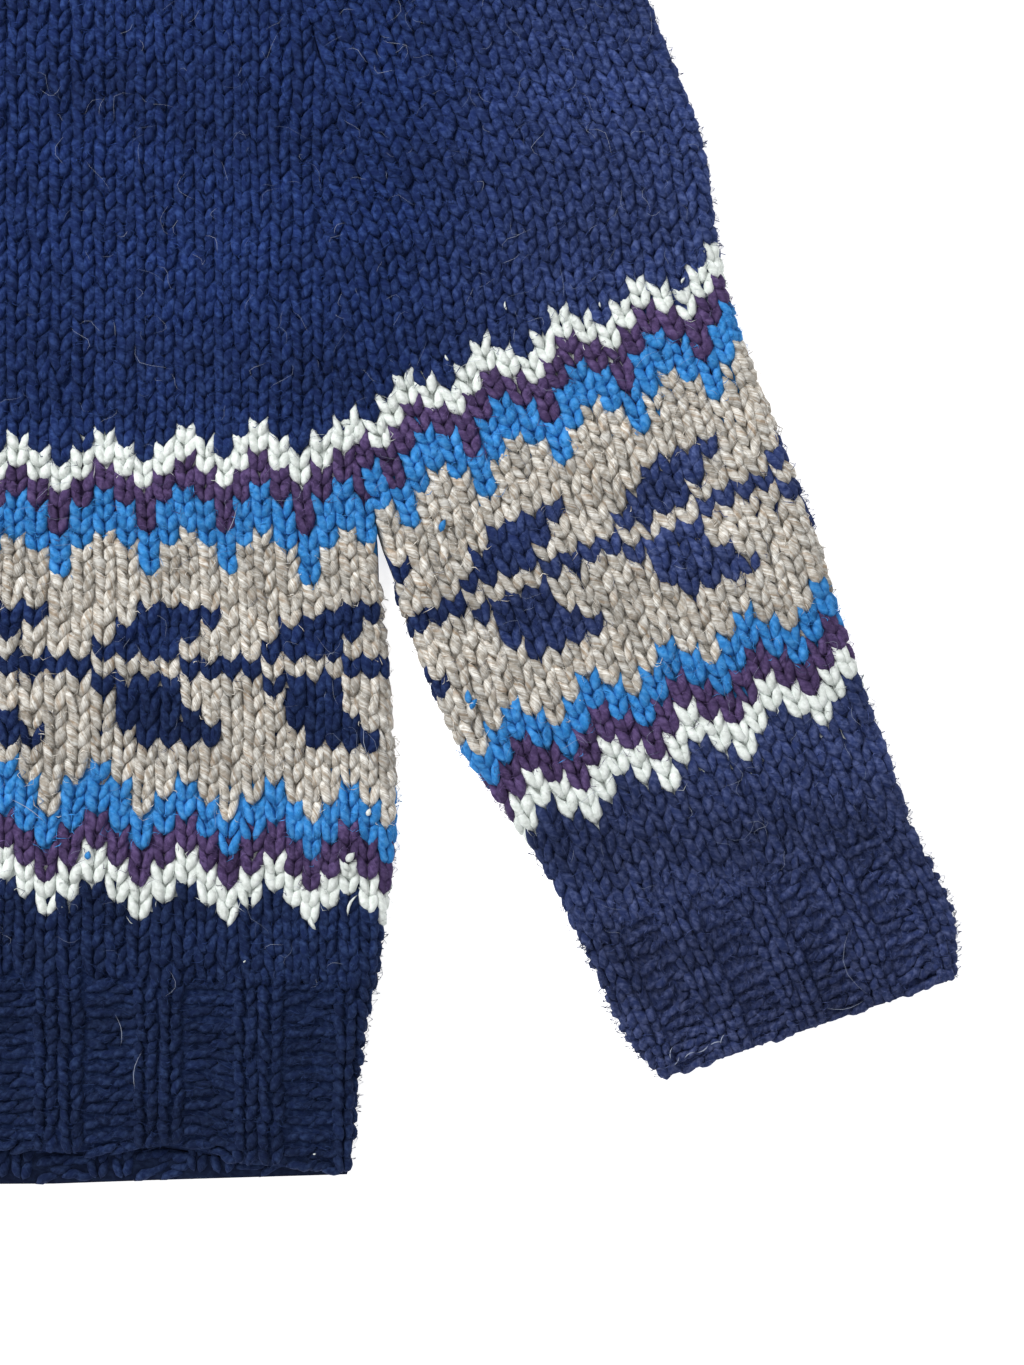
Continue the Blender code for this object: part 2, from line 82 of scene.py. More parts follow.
# The photograph's scale and frame
MM_PER_PIXEL = 0.355
PHOTO_LEFT_PIXEL = -342.0
PHOTO_HEM_PIXEL = 1187.0
PHOTO_SIZE = (1024.0, 1365.0)
CAMERA_ABOVE = 1110.0
CAMERA_AIMS_AT = 10.0
SENSOR = 36.0

# The cloth and how its layers lie on each other
WALL = 4.5
SEAM_GAP = 0.3
LAYER_GAP = 1.5
BACK_TOP = WALL
FRONT_UNDER = BACK_TOP + SEAM_GAP
FRONT_TOP = BACK_TOP + LAYER_GAP + WALL
SIDE_FOLD_HEIGHT = (BACK_TOP + FRONT_UNDER) / 2
FREE_ROUNDING = 8.0
JOINED_ROUNDING = 2.5
FREE_EDGE_TOP = 6.6
JOINED_EDGE_TOP = 9.2
FREE_EDGE_UNDER = 1.6
JOINED_EDGE_UNDER = 0.3
GAP_TOP_Y = 228.0
GAP_CLOSES_OVER = 14.0
GAP_NARROWS_OVER = 22.0

# Body
SHOULDER_HALF = 212.0
SHOULDER_Y = 640.0
NECK_HALF = 95.0
NECK_Y = 668.0
FRONT_NECK_DROP = 78.0
BACK_NECK_DROP = 22.0
HEM_ROUNDING = 5.0
HEM_EDGE_DROP = 2.2
HEM_LIFT = 0.9
HEM_LIFT_OVER = 40.0
HEM_RIB_PITCH = 35.5
HEM_RIB_TOP = 74.0
HEM_STITCHES_TOP = 70.0
HEM_RIB_ROWS = 12
RIB_HEIGHT = 1.7
RIB_HALF = 0.27
RIB_FADES_OVER = 8.0
BAND_LIFT = 0.7
BAND_FADES_OVER = 10.0
BODY_BAND = (108.0, 270.0)

# Sleeve
SLEEVE_SEAM_GAP = 0.4
FOLD_RADIUS = 5.2
FIRST_JOINED_STATION = 7
CUFF_RIB_PITCH = 28.0
CUFF_RIB_STATION = 2.0
CUFF_RIB_ROWS = 11
CUFF_STITCHES_STATION = 2.15
CUFF_EDGE_STATION = 0.3
SLEEVE_BAND = (3.3, 7.9)
STATION_FADE = 0.4
SHOULDER_FADE = 0.25
SHOULDER_EDGE_TOP = 7.3

# Neckband
RIM_HALF = 80.0
RIM_Y = 690.0
FRONT_RIM_DROP = 72.0
BACK_RIM_DROP = 16.0
NECKBAND_FOLD = math.radians(18.0)
NECKBAND_ROUNDING = 0.12
NECKBAND_ROWS = 5
NECK_RIB_PITCH = 28.0
NECK_BACKING_DEPTH = 1.84
BACK_EDGE_UNDER = 1.1

# How deep a stitch's strand lies under the cloth's own surface, and the cloth behind the stitches
KNIT_DEPTH = 1.5
PURL_DEPTH = 0.8
BACKING_DEPTH = 2.3
BACKING_INSET = 1.2
JOINED_INSET = -0.4
THINNEST_BACKING = 0.6
LOWEST_YARN = 0.05

# How far the stitches run on past an edge: where the gap at the arm is wide, where it narrows and above it
BODY_MARGINS = (7.0, -1.5, 0.4)
SLEEVE_MARGINS = (-7.0, 2.4, -0.8)
HEM_MARGIN = 6.0
CUFF_MARGIN = 7.0
NECK_MARGIN = 7.0
SHOULDER_STATION_MARGIN = 0.1
CUFF_STATION_MARGIN = 0.05

# The strip of the back's inner face below the front's hem: where its rows start, how far apart and how high
STRIP_RISE = 1.7
STRIP_ROW_PITCH = 5.6
STRIP_LIFT = 1.5
STRIP_END_MARGIN = 5.0

SIDE_HEIGHTS = (0, 12, 30, 50, 78, 109, 140, 170, 200, 228, 272, 329, 380, 421, 470, 530, 640)
SIDE_HALF_WIDTHS = (
    245.5, 247.5, 248.0, 250.5, 255.5, 260.0, 262.0, 260.0, 257.5, 255.5, 245.7, 234.5, 238.5, 229.0,
    218.0, 212.0, 212.0,
)  # fmt: skip
HEM_ACROSS = (0, 70, 122, 158, 187, 196, 204, 221, 231, 246)
FRONT_HEM = (13.4, 12.4, 12.8, 12.1, 14.9, 13.0, 8.6, 7.2, 5.6, 4.8)
BACK_HEM = (0.0, 0.6, 0.0, 0.8, 2.0, 2.1, 2.2, 3.4, 4.6, 3.6)

# Sleeve stations from the cuff to the shoulder: where the inner and the outer edge lie in plan
STATION_INNER_X = (
    356.8, 341.9, 329.4, 314.9, 296.1, 282.6, 270.2, 255.9, 244.3, 234.9, 238.9, 229.4, 218.4, 212.4,
    212.4, 212.4,
)  # fmt: skip
STATION_INNER_Y = (
    38.3, 55.0, 83.1, 112.5, 139.9, 160.1, 188.5, 228.0, 279.4, 329.1, 375.2, 421.4, 470.0, 530.0,
    585.0, 640.0,
)  # fmt: skip
STATION_OUTER_X = (
    461.5, 460.0, 446.2, 435.6, 425.6, 418.2, 410.4, 396.3, 379.2, 370.4, 354.7, 339.4, 317.0, 286.0,
    255.0, 229.0,
)  # fmt: skip
STATION_OUTER_Y = (
    74.0, 99.0, 127.4, 156.9, 185.7, 207.3, 235.0, 271.9, 321.0, 373.1, 413.6, 455.5, 518.0, 573.0,
    611.0, 633.0,
)  # fmt: skip
LAST_STATION = len(STATION_INNER_X) - 1
FINE_STATIONS = np.linspace(0, LAST_STATION, 1501)

# One repeat of the coloured band, eight stitches wide, from its first white row down to its last:
# n navy, w cream, p purple, b blue, o oatmeal
BAND_CHART = """
    wnnnwnnn wwnwwwnw pwwwpwww ppwpppwp bpppbppp bbpbbbpb bbpbbbpb obbbobbb oobooobo oobooobo
    oooooooo oooooooo oonnnnoo onnnnooo nnnnoooo oooonnnn nnnnoooo onnnoooo onnnnooo oonnnnoo
    oooooooo booobooo bbobbbob bbobbbob pbbbpbbb ppbpppbp wpppwppp wwpwwwpw nwwwnwww nnwnnnwn
""".split()

# The row and the columns of the front where the lower blue peaks start a row later than in the chart
LOWER_PEAK_ROW = 21
LATE_BODY_COLUMNS = (2, 14)

# Where the body's columns and rows lie. Columns fan a little between the band's top and its foot
MIDDLE_COLUMN = -21
COLUMN_NUMBERS = (MIDDLE_COLUMN, -12, -4, -2, 0, 2, 4, 6, 8, 10, 12, 15)
COLUMN_HEIGHTS = (114.0, 160.0, 205.0, 245.0)
COLUMN_X = (
    (0.0, 65.0, 122.5, 137.4, 154.4, 170.8, 187.1, 202.0, 219.0, 231.5, 245.3, 266.5),
    (0.0, 66.0, 124.0, 140.5, 157.8, 173.6, 189.0, 203.8, 219.6, 233.4, 245.6, 266.5),
    (0.0, 66.5, 125.0, 142.6, 158.6, 175.4, 189.0, 203.2, 216.3, 233.6, 246.5, 267.5),
    (0.0, 67.5, 127.4, 142.7, 158.7, 172.9, 187.1, 200.9, 213.4, 228.6, 243.2, 265.0),
)
OUTER_COLUMN_PITCH = 7.4
SAG_COLUMN = 10.0
SAG_HEIGHT = 212.0
SAG = 4.4
SAG_SPREAD = (1.3, 15.0)
ROW_WANDER = 0.7
COLUMN_WANDER = 0.5
ROW_NUMBERS = (-66, -27, 0, 3, 6, 9, 25, 27, 29, 34)
ROW_HEIGHTS = (640.0, 415.5, 260.2, 245.0, 229.7, 215.8, 120.3, 108.6, 96.6, 69.0)
ROW_PITCH_ABOVE = 5.76
ROW_PITCH_BELOW = 5.4
ROWS_RISE_FROM_COLUMN = -5
ROWS_RISE = 0.33
ROWS_FALL = -0.30
ROWS_LEVEL_OUT = -14
BAND_FOOT_ROW = 25
FIRST_BODY_ROW = -70
LAST_BODY_ROW = 33

# Where the sleeve's columns and rows lie: columns from its outer edge, rows along its middle line
EDGE_COLUMN_ROWS = (-8, 0, 4, 9, 12, 25, 32)
OUTER_EDGE_COLUMNS = (16.2, 16.2, 15.98, 16.12, 16.5, 16.45, 16.2)
SLEEVE_STITCH = 7.38
SLEEVE_ROW_PITCH = 5.6
SLEEVE_ROW_NUMBERS = (-62, 0, 3, 9, 25, 29, 35)
SLEEVE_ROW_LENGTHS = (611.0, 264.0, 248.5, 218.2, 120.6, 95.6, 58.0)
SLEEVE_TILT = 0.0135
SLEEVE_LEVEL_COLUMN = 6
FIRST_SLEEVE_ROW = -62
LAST_SLEEVE_ROW = 38

# The yarn: how plump and lumpy a strand is, how much nap the far side has, and how many strands differ
PLUMPNESS = 0.55
LUMPS = 0.10
FAR_NAP = 0.12
UV_SHIFTS = 900

# The wool's looks: how matt it is, how its nap shines, and the depths and scales of its fibres
ROUGHNESS = 0.92
SPECULAR = 0.15
SHEEN_ROUGHNESS = 0.45
BUMP_DEPTH = 0.0006
BUMP_STRENGTH = 0.8
FIBRE_SCALE = 2.2
FUZZ_SCALE = 560.0
DYE_SCALE = (7.0, 34.0, 7.0)
TUFT_SCALE = (0.5, 0.5, 40.0)

# Between which places of the frame the navy's painted light and shade blend, how dark the painted shade
# makes it where the cloth is flat, and how light the painted light makes the cloth behind the stitches
PAINTED_LIGHT_FOOT_Y = -0.30
PAINTED_LIGHT_TOP_Y = 0.02
PAINTED_LIGHT_ARMPIT_X = 0.262
PAINTED_LIGHT_SLEEVE_X = 0.345
FLAT_NAVY_PAINTED_SHADE = 0.62
BEHIND_PAINTED_LIGHT = 1.3

# Light
SKY_STRENGTH = 0.66
LAMP_WATTS = 31.0
LAMP_PLACE = (-0.75, 0.75, 1.35)
LAMP_AIM = (0.2, -0.1, 0.0)


class Yarn(Enum):
    """The five wools, each with its letter in the chart and its material slot in the record."""

    NAVY = ("n", "navy_wool")
    CREAM = ("w", "cream_wool")
    PURPLE = ("p", "purple_wool")
    BLUE = ("b", "blue_wool")
    OATMEAL = ("o", "oatmeal_wool")

    @property
    def letter(self) -> str:
        """The letter that stands for this yarn in the chart."""
        return self.value[0]

    @property
    def slot(self) -> str:
        """The record's material slot for this yarn."""
        return self.value[1]


YARNS = list(Yarn)
LETTERS = "".join(yarn.letter for yarn in YARNS)
CHART = np.array([[LETTERS.index(letter) for letter in row] for row in BAND_CHART])


class Detail(Enum):
    """How finely a strand is made: rings along it and sides round it."""

    FINE = (4, 6)
    PLAIN = (2, 4)
    HAIR = (4, 3)
    FUZZ = (1, 3)

    @property
    def steps(self) -> Array:
        """Shares of a strand's length: its two ends and its rings."""
        return np.linspace(0, 1, self.value[0] + 2)


class Zone(Enum):
    """The stretches of the front that each become one piece for each yarn."""

    LEFT = "left"
    RIGHT = "right"
    YOKE = "yoke"


def curve_through(places: tuple[float, ...], values: tuple[float, ...]) -> Callable[[Array], Array]:
    """A smooth function through the points: a cubic between each two, with slopes from their neighbours.

    Args:
        places: The inputs at which the values are known, rising.
        values: The value at each place.

    Returns:
        A function of an array, held at its end values outside the places.
    """
    x, y = np.array(places, float), np.array(values, float)
    low, high = np.maximum(np.arange(len(x)) - 1, 0), np.minimum(np.arange(len(x)) + 1, len(x) - 1)
    slope = (y[high] - y[low]) / (x[high] - x[low])

    def value(at: Array) -> Array:
        """The curve's value at each input, by the cubic of its step.

        Args:
            at: The inputs.

        Returns:
            The values.
        """
        at = np.clip(np.asarray(at, float), x[0], x[-1])
        i = np.clip(np.searchsorted(x, at, side="right") - 1, 0, len(x) - 2)
        step = x[i + 1] - x[i]
        t = (at - x[i]) / step
        return (
            (2 * t**3 - 3 * t**2 + 1) * y[i]
            + (t**3 - 2 * t**2 + t) * step * slope[i]
            + (3 * t**2 - 2 * t**3) * y[i + 1]
            + (t**3 - t**2) * step * slope[i + 1]
        )

    return value


half_width = curve_through(SIDE_HEIGHTS, SIDE_HALF_WIDTHS)
front_hem = curve_through(HEM_ACROSS, FRONT_HEM)
back_hem = curve_through(HEM_ACROSS, BACK_HEM)
row_height = curve_through(ROW_NUMBERS, ROW_HEIGHTS)
column_lines = [curve_through(COLUMN_NUMBERS, places) for places in COLUMN_X]
sleeve_lines = [
    curve_through(tuple(range(LAST_STATION + 1)), line)
    for line in (STATION_INNER_X, STATION_INNER_Y, STATION_OUTER_X, STATION_OUTER_Y)
]


def soft_step(value: Array, low: float, high: float) -> Array:
    """0 below low, 1 above high, and a smooth rise between them."""
    t = np.clip((value - low) / (high - low), 0.0, 1.0)
    return t * t * (3 - 2 * t)


def quarter_round(distance: Array, radius: Array) -> Array:
    """0 at an edge and 1 from the radius inwards, along a quarter of a circle."""
    t = np.clip(distance / radius, 0.0, 1.0)
    return np.sqrt(1 - (1 - t) ** 2)


def plateau(value: Array, low: float, high: float, fade: float) -> Array:
    """1 between low and high and 0 outside them, with a soft rise and fall."""
    rise = soft_step(value, low - fade / 2, low + fade / 2)
    return rise * (1 - soft_step(value, high - fade / 2, high + fade / 2))


def mixed(low: Array, high: Array, share: Array) -> Array:
    """The value that lies that share of the way from low to high."""
    return low + (high - low) * share


def unit(vectors: Array) -> Array:
    """Vectors of the same directions and of length 1."""
    return vectors / np.maximum(np.linalg.norm(vectors, axis=-1, keepdims=True), TINY)


def spatial(x: Array, y: Array, z: Array) -> Array:
    """Points or vectors from their three parts."""
    return np.stack([x, y, z], -1)


def joined(y: Array) -> Array:
    """0 where a body or sleeve edge is free and 1 where the two lie against each other."""
    return soft_step(y, GAP_TOP_Y - GAP_CLOSES_OVER, GAP_TOP_Y + GAP_CLOSES_OVER)


def by_gap(y: Array, free: float, narrow: float, shut: float) -> Array:
    """One value where the gap at the arm is wide, one where it narrows and one above it."""
    return np.select([y < GAP_TOP_Y - GAP_NARROWS_OVER, y < GAP_TOP_Y], [free, narrow], shut)


def rib_rise(place: Array) -> Array:
    """The height of a raised rib, as a share, at a place counted in pitches from a rib's middle."""
    off = np.abs(place - np.round(place)) / RIB_HALF
    return np.sqrt(np.clip(1 - off**2, 0, 1))


def in_frame(points: Array) -> Array:
    """Garment millimetres as the frame's metres."""
    return (points - np.array([0.0, GARMENT_MIDDLE_Y, 0.0])) * MM


def photo_place(across: float, down: float) -> tuple[float, float]:
    """The garment's millimetres at a pixel of the photograph."""
    return (across - PHOTO_LEFT_PIXEL) * MM_PER_PIXEL, (PHOTO_HEM_PIXEL - down) * MM_PER_PIXEL


def every_pair(columns: Array, rows: Array) -> Pair:
    """Each column with each row, row by row, as two flat arrays."""
    across, down = np.meshgrid(columns, rows)
    return across.reshape(-1), down.reshape(-1)


def rib_places(first: int, last: int, rows: Array) -> list[Pair]:
    """Where the stitches of a rib lie that has two knit and two purl columns in turn.

    Args:
        first: The number of the first pair of knit columns; pair 0 stands on the middle line.
        last: The number of the last one.
        rows: The row numbers.

    Returns:
        Columns and rows of the knit stitches, then those of the purl ones.
    """
    pairs = np.arange(first, last + 1)[:, None] * 4
    return [every_pair((pairs + np.array(two)).reshape(-1), rows) for two in ((-0.5, 0.5), (1.5, 2.5))]


def yarn_numbers(columns: Array, rows: Array, late: Array) -> Array:
    """Which yarn each stitch is knitted in.

    Args:
        columns: Column numbers, as whole numbers.
        rows: Row numbers, counted down from the band's first row.
        late: Whether the lower blue peaks start a row later there.

    Returns:
        Places in YARNS: navy outside the band, and inside it what the chart says.
    """
    rows = rows - (late & (rows >= LOWER_PEAK_ROW) & (rows < LOWER_PEAK_ROW + 2))
    inside = (rows >= 0) & (rows < len(CHART))
    return np.where(inside, CHART[np.clip(rows, 0, len(CHART) - 1), columns % CHART.shape[1]], 0)


@dataclass(frozen=True)
class Fold:
    """A soft ridge (height above 0) or trough (below 0) along a line from start to end."""

    start: tuple[float, float]
    end: tuple[float, float]
    width: float
    height: float

    def rise(self, x: Array, y: Array) -> Array:
        """Its height at a point: a bell curve of the distance from the line.

        Args:
            x: Distance from the centre line.
            y: Height above the hem.

        Returns:
            The height it adds.
        """
        run_x, run_y = self.end[0] - self.start[0], self.end[1] - self.start[1]
        along = ((x - self.start[0]) * run_x + (y - self.start[1]) * run_y) / (run_x**2 + run_y**2)
        along = np.clip(along, 0, 1)
        off = np.hypot(x - self.start[0] - along * run_x, y - self.start[1] - along * run_y)
        return self.height * np.exp(-((off / self.width) ** 2))


FRONT_FOLDS = (
    Fold((205, 430), (214, 268), 15, 0.9),
    Fold((160, 330), (178, 410), 24, -0.7),
    Fold((120, 395), (30, 350), 32, 0.8),
    Fold((235, 120), (215, 15), 12, 0.7),
    Fold((190, 18), (186, 60), 9, 1.0),
    Fold((100, 120), (110, 40), 16, -0.6),
    Fold((-215, 440), (-205, 290), 16, 0.8),
    Fold((-150, 300), (-190, 420), 22, -0.7),
    Fold((-60, 470), (40, 500), 34, 0.9),
    Fold((-200, 70), (-180, 15), 10, 0.8),
    Fold((-70, 140), (-80, 30), 18, 0.6),
    Fold((-110, 560), (-180, 600), 22, 0.7),
    Fold((100, 545), (180, 590), 24, 0.8),
)
LEFT_SLEEVE_FOLDS = (
    Fold((352, 300), (392, 250), 14, 0.8),
    Fold((285, 318), (372, 352), 11, -0.7),
    Fold((262, 400), (330, 420), 18, 0.7),
    Fold((380, 190), (400, 215), 14, 0.7),
    Fold((350, 95), (372, 62), 9, 0.6),
    Fold((245, 520), (285, 545), 13, -0.6),
)
RIGHT_SLEEVE_FOLDS = (
    Fold((340, 280), (385, 290), 15, 0.8),
    Fold((270, 350), (350, 372), 12, -0.7),
    Fold((300, 190), (360, 230), 16, 0.7),
    Fold((245, 470), (300, 500), 16, 0.8),
    Fold((400, 110), (420, 85), 10, 0.6),
)


def folds_rise(folds: tuple[Fold, ...], x: Array, y: Array) -> Array:
    """The sum of the soft ridges and troughs at each point."""
    return sum(fold.rise(x, y) for fold in folds)


def over_edge(beyond: Array, radius: Array, height: Array) -> tuple[Array, Array, Array, Array]:
    """Carries cloth round a fold: half an ellipse from the top layer to the surface below.

    Args:
        beyond: How far along the cloth a point lies past the start of the rounding.
        radius: How far the fold reaches outwards.
        height: The height of the top layer there.

    Returns:
        How far out and how high the point lies, and the outward and upward parts of the cloth's normal.
    """
    turn = np.clip(beyond / ((radius + height / 2) / 2), 0, math.pi)
    return radius * np.sin(turn), height / 2 * (1 + np.cos(turn)), np.sin(turn), np.cos(turn)


def shoulder_line(across: Array) -> Array:
    """The height of the shoulder seam above the hem."""
    share = (np.abs(across) - NECK_HALF) / (SHOULDER_HALF - NECK_HALF)
    return NECK_Y + (SHOULDER_Y - NECK_Y) * share


def top_edge(across: Array, neck_drop: float) -> Array:
    """The height of a panel's top edge: the neckline in the middle and the shoulders beside it."""
    neck = NECK_Y - neck_drop * np.sqrt(np.clip(1 - (across / NECK_HALF) ** 2, 0, 1))
    return np.where(np.abs(across) >= NECK_HALF, shoulder_line(across), neck)


def down_at_shoulder(x: Array, y: Array, high: Array) -> Array:
    """A height of the front, brought down to the shoulder seam beside the neck."""
    shoulder = quarter_round(shoulder_line(x) - y, FREE_ROUNDING)
    return np.where(np.abs(x) >= NECK_HALF, mixed(FREE_EDGE_TOP, high, shoulder), high)


class FrontForm:
    """The front's outer surface, carried round its free sides."""

    def full_height(self, x: Array, y: Array) -> Array:
        """The height of the flat stretch: ribs, the thicker band, the lifted hem and the folds.

        Args:
            x: Distance from the centre line.
            y: Height above the back's hem.

        Returns:
            Heights above the floor.
        """
        hem = front_hem(np.abs(x))
        rib_fade = 1 - soft_step(y, HEM_RIB_TOP - RIB_FADES_OVER, HEM_RIB_TOP + RIB_FADES_OVER)
        rib = RIB_HEIGHT * rib_rise(x / HEM_RIB_PITCH) * rib_fade
        band = BAND_LIFT * plateau(y, *BODY_BAND, BAND_FADES_OVER)
        lift = HEM_LIFT * (1 - soft_step(y - hem, 0, HEM_LIFT_OVER))
        drop = HEM_EDGE_DROP * (1 - quarter_round(y - hem, HEM_ROUNDING))
        return FRONT_TOP + rib + band + lift - drop + folds_rise(FRONT_FOLDS, x, y)

    def surface(self, x: Array, y: Array) -> Pair:
        """The point and the normal of the cloth at a place measured along the cloth.

        Args:
            x: Distance from the centre line, along the cloth, so that it runs on round a free side.
            y: Height above the back's hem.

        Returns:
            Points and unit normals, in garment millimetres.
        """
        edge, against = half_width(y), joined(y)
        side, out = np.sign(x), np.abs(x)
        start = edge - FREE_ROUNDING
        full = self.full_height(side * np.minimum(out, edge), y)
        reach, high, normal_out, normal_up = over_edge(out - start, FREE_ROUNDING, full)
        free_x = np.minimum(out, start) + reach
        seam = mixed(JOINED_EDGE_TOP, full, quarter_round(edge - out, JOINED_ROUNDING))
        high = down_at_shoulder(x, y, mixed(high, seam, against))
        points = spatial(side * mixed(free_x, out, against), y, high)
        return points, unit(spatial(side * normal_out * (1 - against), 0 * y, mixed(normal_up, 1, against)))


@dataclass(frozen=True)
class SleeveForm:
    """A sleeve's outer surface: side is 1 for the wearer's left and -1 for the right."""

    side: int
    folds: tuple[Fold, ...]

    def edges(self, station: Array) -> Pair:
        """The inner and the outer edge in plan.

        Args:
            station: Station number along the sleeve.

        Returns:
            Points with two numbers each, on the inner edge and on the outer one.
        """
        inner_x, inner_y, outer_x, outer_y = (line(station) for line in sleeve_lines)
        lies_against = station >= FIRST_JOINED_STATION
        inner_x = np.where(lies_against, half_width(inner_y) + SLEEVE_SEAM_GAP, inner_x)
        return np.stack([inner_x, inner_y], -1), np.stack([outer_x, outer_y], -1)

    def width(self, station: Array) -> Array:
        """The flat width of the sleeve at a station."""
        inner, outer = self.edges(station)
        return np.linalg.norm(outer - inner, axis=-1)

    def lengths(self) -> Array:
        """How far up the sleeve's middle line from the cuff each of FINE_STATIONS lies."""
        steps = np.diff(sum(self.edges(FINE_STATIONS)) / 2, axis=0)
        return np.concatenate([[0], np.cumsum(np.linalg.norm(steps, axis=1))])

    def station_at(self, length: Array) -> Array:
        """The station that lies a length up the sleeve's middle line from the cuff."""
        return np.interp(length, self.lengths(), FINE_STATIONS)

    def mirrored(self, points: Array) -> Array:
        """Points or normals of the wearer's left, brought to this sleeve's side."""
        return points * np.array([self.side, 1.0, 1.0])

    def full_height(self, station: Array, distance: Array, plan: Array) -> Array:
        """The height of the flat stretch of the top layer: ribs, the thicker band and the folds.

        Args:
            station: Station number along the sleeve.
            distance: Distance from the inner edge.
            plan: The same places in plan.

        Returns:
            Heights above the floor.
        """
        fade_in, fade_out = CUFF_RIB_STATION - SHOULDER_FADE, CUFF_RIB_STATION + SHOULDER_FADE
        rib = rib_rise((distance - self.width(station) / 2) / CUFF_RIB_PITCH)
        rib = RIB_HEIGHT * rib * (1 - soft_step(station, fade_in, fade_out))
        band = BAND_LIFT * plateau(station, *SLEEVE_BAND, STATION_FADE)
        drop = HEM_EDGE_DROP * (1 - quarter_round(station, CUFF_EDGE_STATION))
        full = FRONT_TOP + rib + band - drop + folds_rise(self.folds, plan[..., 0], plan[..., 1])
        return mixed(SHOULDER_EDGE_TOP, full, quarter_round(LAST_STATION - station, SHOULDER_FADE))

    def surface_at(self, x: Array, y: Array) -> Pair:
        """The point and the normal of the top layer at places in plan: the nearest of a fine net's points.

        Args:
            x: Distance from the centre line.
            y: Height above the back's hem.

        Returns:
            Points and unit normals, in garment millimetres.
        """
        stations, shares = every_pair(np.linspace(0, LAST_STATION, 900), np.linspace(0.02, 0.98, 100))
        points, normals = self.surface(stations, shares * self.width(stations))
        off = np.hypot(points[:, 0] - x.reshape(-1, 1), points[:, 1] - y.reshape(-1, 1))
        near = np.argmin(off, axis=1).reshape(x.shape)
        return spatial(x, y, points[near][..., 2]), normals[near]

    def surface(self, station: Array, distance: Array) -> Pair:
        """The point and the normal at a place measured along the cloth from the inner edge.

        Args:
            station: Station number along the sleeve.
            distance: Distance from the inner edge, along the cloth, so that it runs on round both folds.

        Returns:
            Points and unit normals, in garment millimetres.
        """
        inner, outer = self.edges(station)
        width = np.linalg.norm(outer - inner, axis=-1)
        along = (outer - inner) / width[..., None]
        against = joined(inner[..., 1])
        flat_end = width - FOLD_RADIUS
        flat = np.clip(distance, 0, flat_end)
        full = self.full_height(station, flat, inner + along * flat[..., None])
        reach, high, out, up = over_edge(distance - flat_end, FOLD_RADIUS, full)
        in_reach, in_high, in_out, in_up = over_edge(FREE_ROUNDING - distance, FREE_ROUNDING, full)
        free_inner = np.maximum(distance, FREE_ROUNDING) - in_reach
        seam = mixed(JOINED_EDGE_TOP, full, quarter_round(distance, JOINED_ROUNDING))
        by_fold = distance > width / 2
        place = np.where(by_fold, flat + reach, mixed(free_inner, distance, against))
        high = np.where(by_fold, high, mixed(in_high, seam, against))
        outward = np.where(by_fold, out, -in_out * (1 - against))
        upward = np.where(by_fold, up, mixed(in_up, 1.0, against))
        points = np.concatenate([inner + along * place[..., None], high[..., None]], -1)
        normals = np.concatenate([along * outward[..., None], upward[..., None]], -1)
        return self.mirrored(points), unit(self.mirrored(normals))


class NeckbandForm:
    """The neckband's outer surface in front, and its inner surface behind."""

    def ribs(self) -> int:
        """How many ribs lie round the front."""
        length = math.pi * math.sqrt((NECK_HALF**2 + FRONT_NECK_DROP**2) / 2)
        return round(length / NECK_RIB_PITCH)

    def ring(self, angle: Array, level: Array, front: bool) -> tuple[Array, Array, Array]:
        """Where the band lies in plan, and how far it has turned from its side fold to lying flat.

        Args:
            angle: Angle round the front or the back, from 0 at the wearer's left to half a turn.
            level: 0 at the neckline and 1 at the rim.
            front: Whether it is the front half.

        Returns:
            x, y and the share by which the band lies flat.
        """
        half, centre = mixed(NECK_HALF, RIM_HALF, level), mixed(NECK_Y, RIM_Y, level)
        drops = (FRONT_NECK_DROP, FRONT_RIM_DROP) if front else (BACK_NECK_DROP, BACK_RIM_DROP)
        flat = quarter_round(np.minimum(angle, math.pi - angle), NECKBAND_FOLD) + 0 * half
        return half * np.cos(angle), centre - mixed(*drops, level) * np.sin(angle), flat

    def rise(self, angle: Array) -> Array:
        """How far the ribs of the front stand up."""
        return RIB_HEIGHT * rib_rise(self.ribs() * angle / math.pi)

    def rounded(self, level: Array) -> Array:
        """1 at the neckline and the rim, and 0 between them past a rounding."""
        return 1 - quarter_round(np.minimum(level, 1 - level), NECKBAND_ROUNDING)

    def surface(self, angle: Array, level: Array) -> Pair:
        """The point and the normal on the front half of the band.

        Args:
            angle: Angle round the front.
            level: 0 at the neckline and 1 at the rim.

        Returns:
            Points and unit normals, in garment millimetres.
        """
        x, y, flat = self.ring(angle, level, True)
        crest = FRONT_TOP - LAYER_GAP / 2 + self.rise(angle) - self.rounded(level)
        side = np.cos(angle) * (1 - flat)
        points = spatial(x, y, mixed(SIDE_FOLD_HEIGHT, crest, flat))
        return points, spatial(side, 0 * side, np.sqrt(1 - side**2))


@dataclass
class Strands:
    """Many short lengths of yarn, each along a path on a surface, with one row of numbers for each strand.

    Args:
        across: The surface's first measure at the path's points, often a column.
        up: Its second measure, often a row.
        lift: How far the strand's middle rises from the cloth.
        radius: The greatest radius of each strand.
        tone: A number from 0 to 1 for each strand, for its shade.
    """

    across: Array
    up: Array
    lift: Array
    radius: Array
    tone: Array


def uv_corners(*corners: Pair) -> Array:
    """The UV places of faces, from each corner's places along and round the yarn."""
    return np.stack([np.stack(corner, -1) for corner in corners], -2).reshape(-1, len(corners), 2)


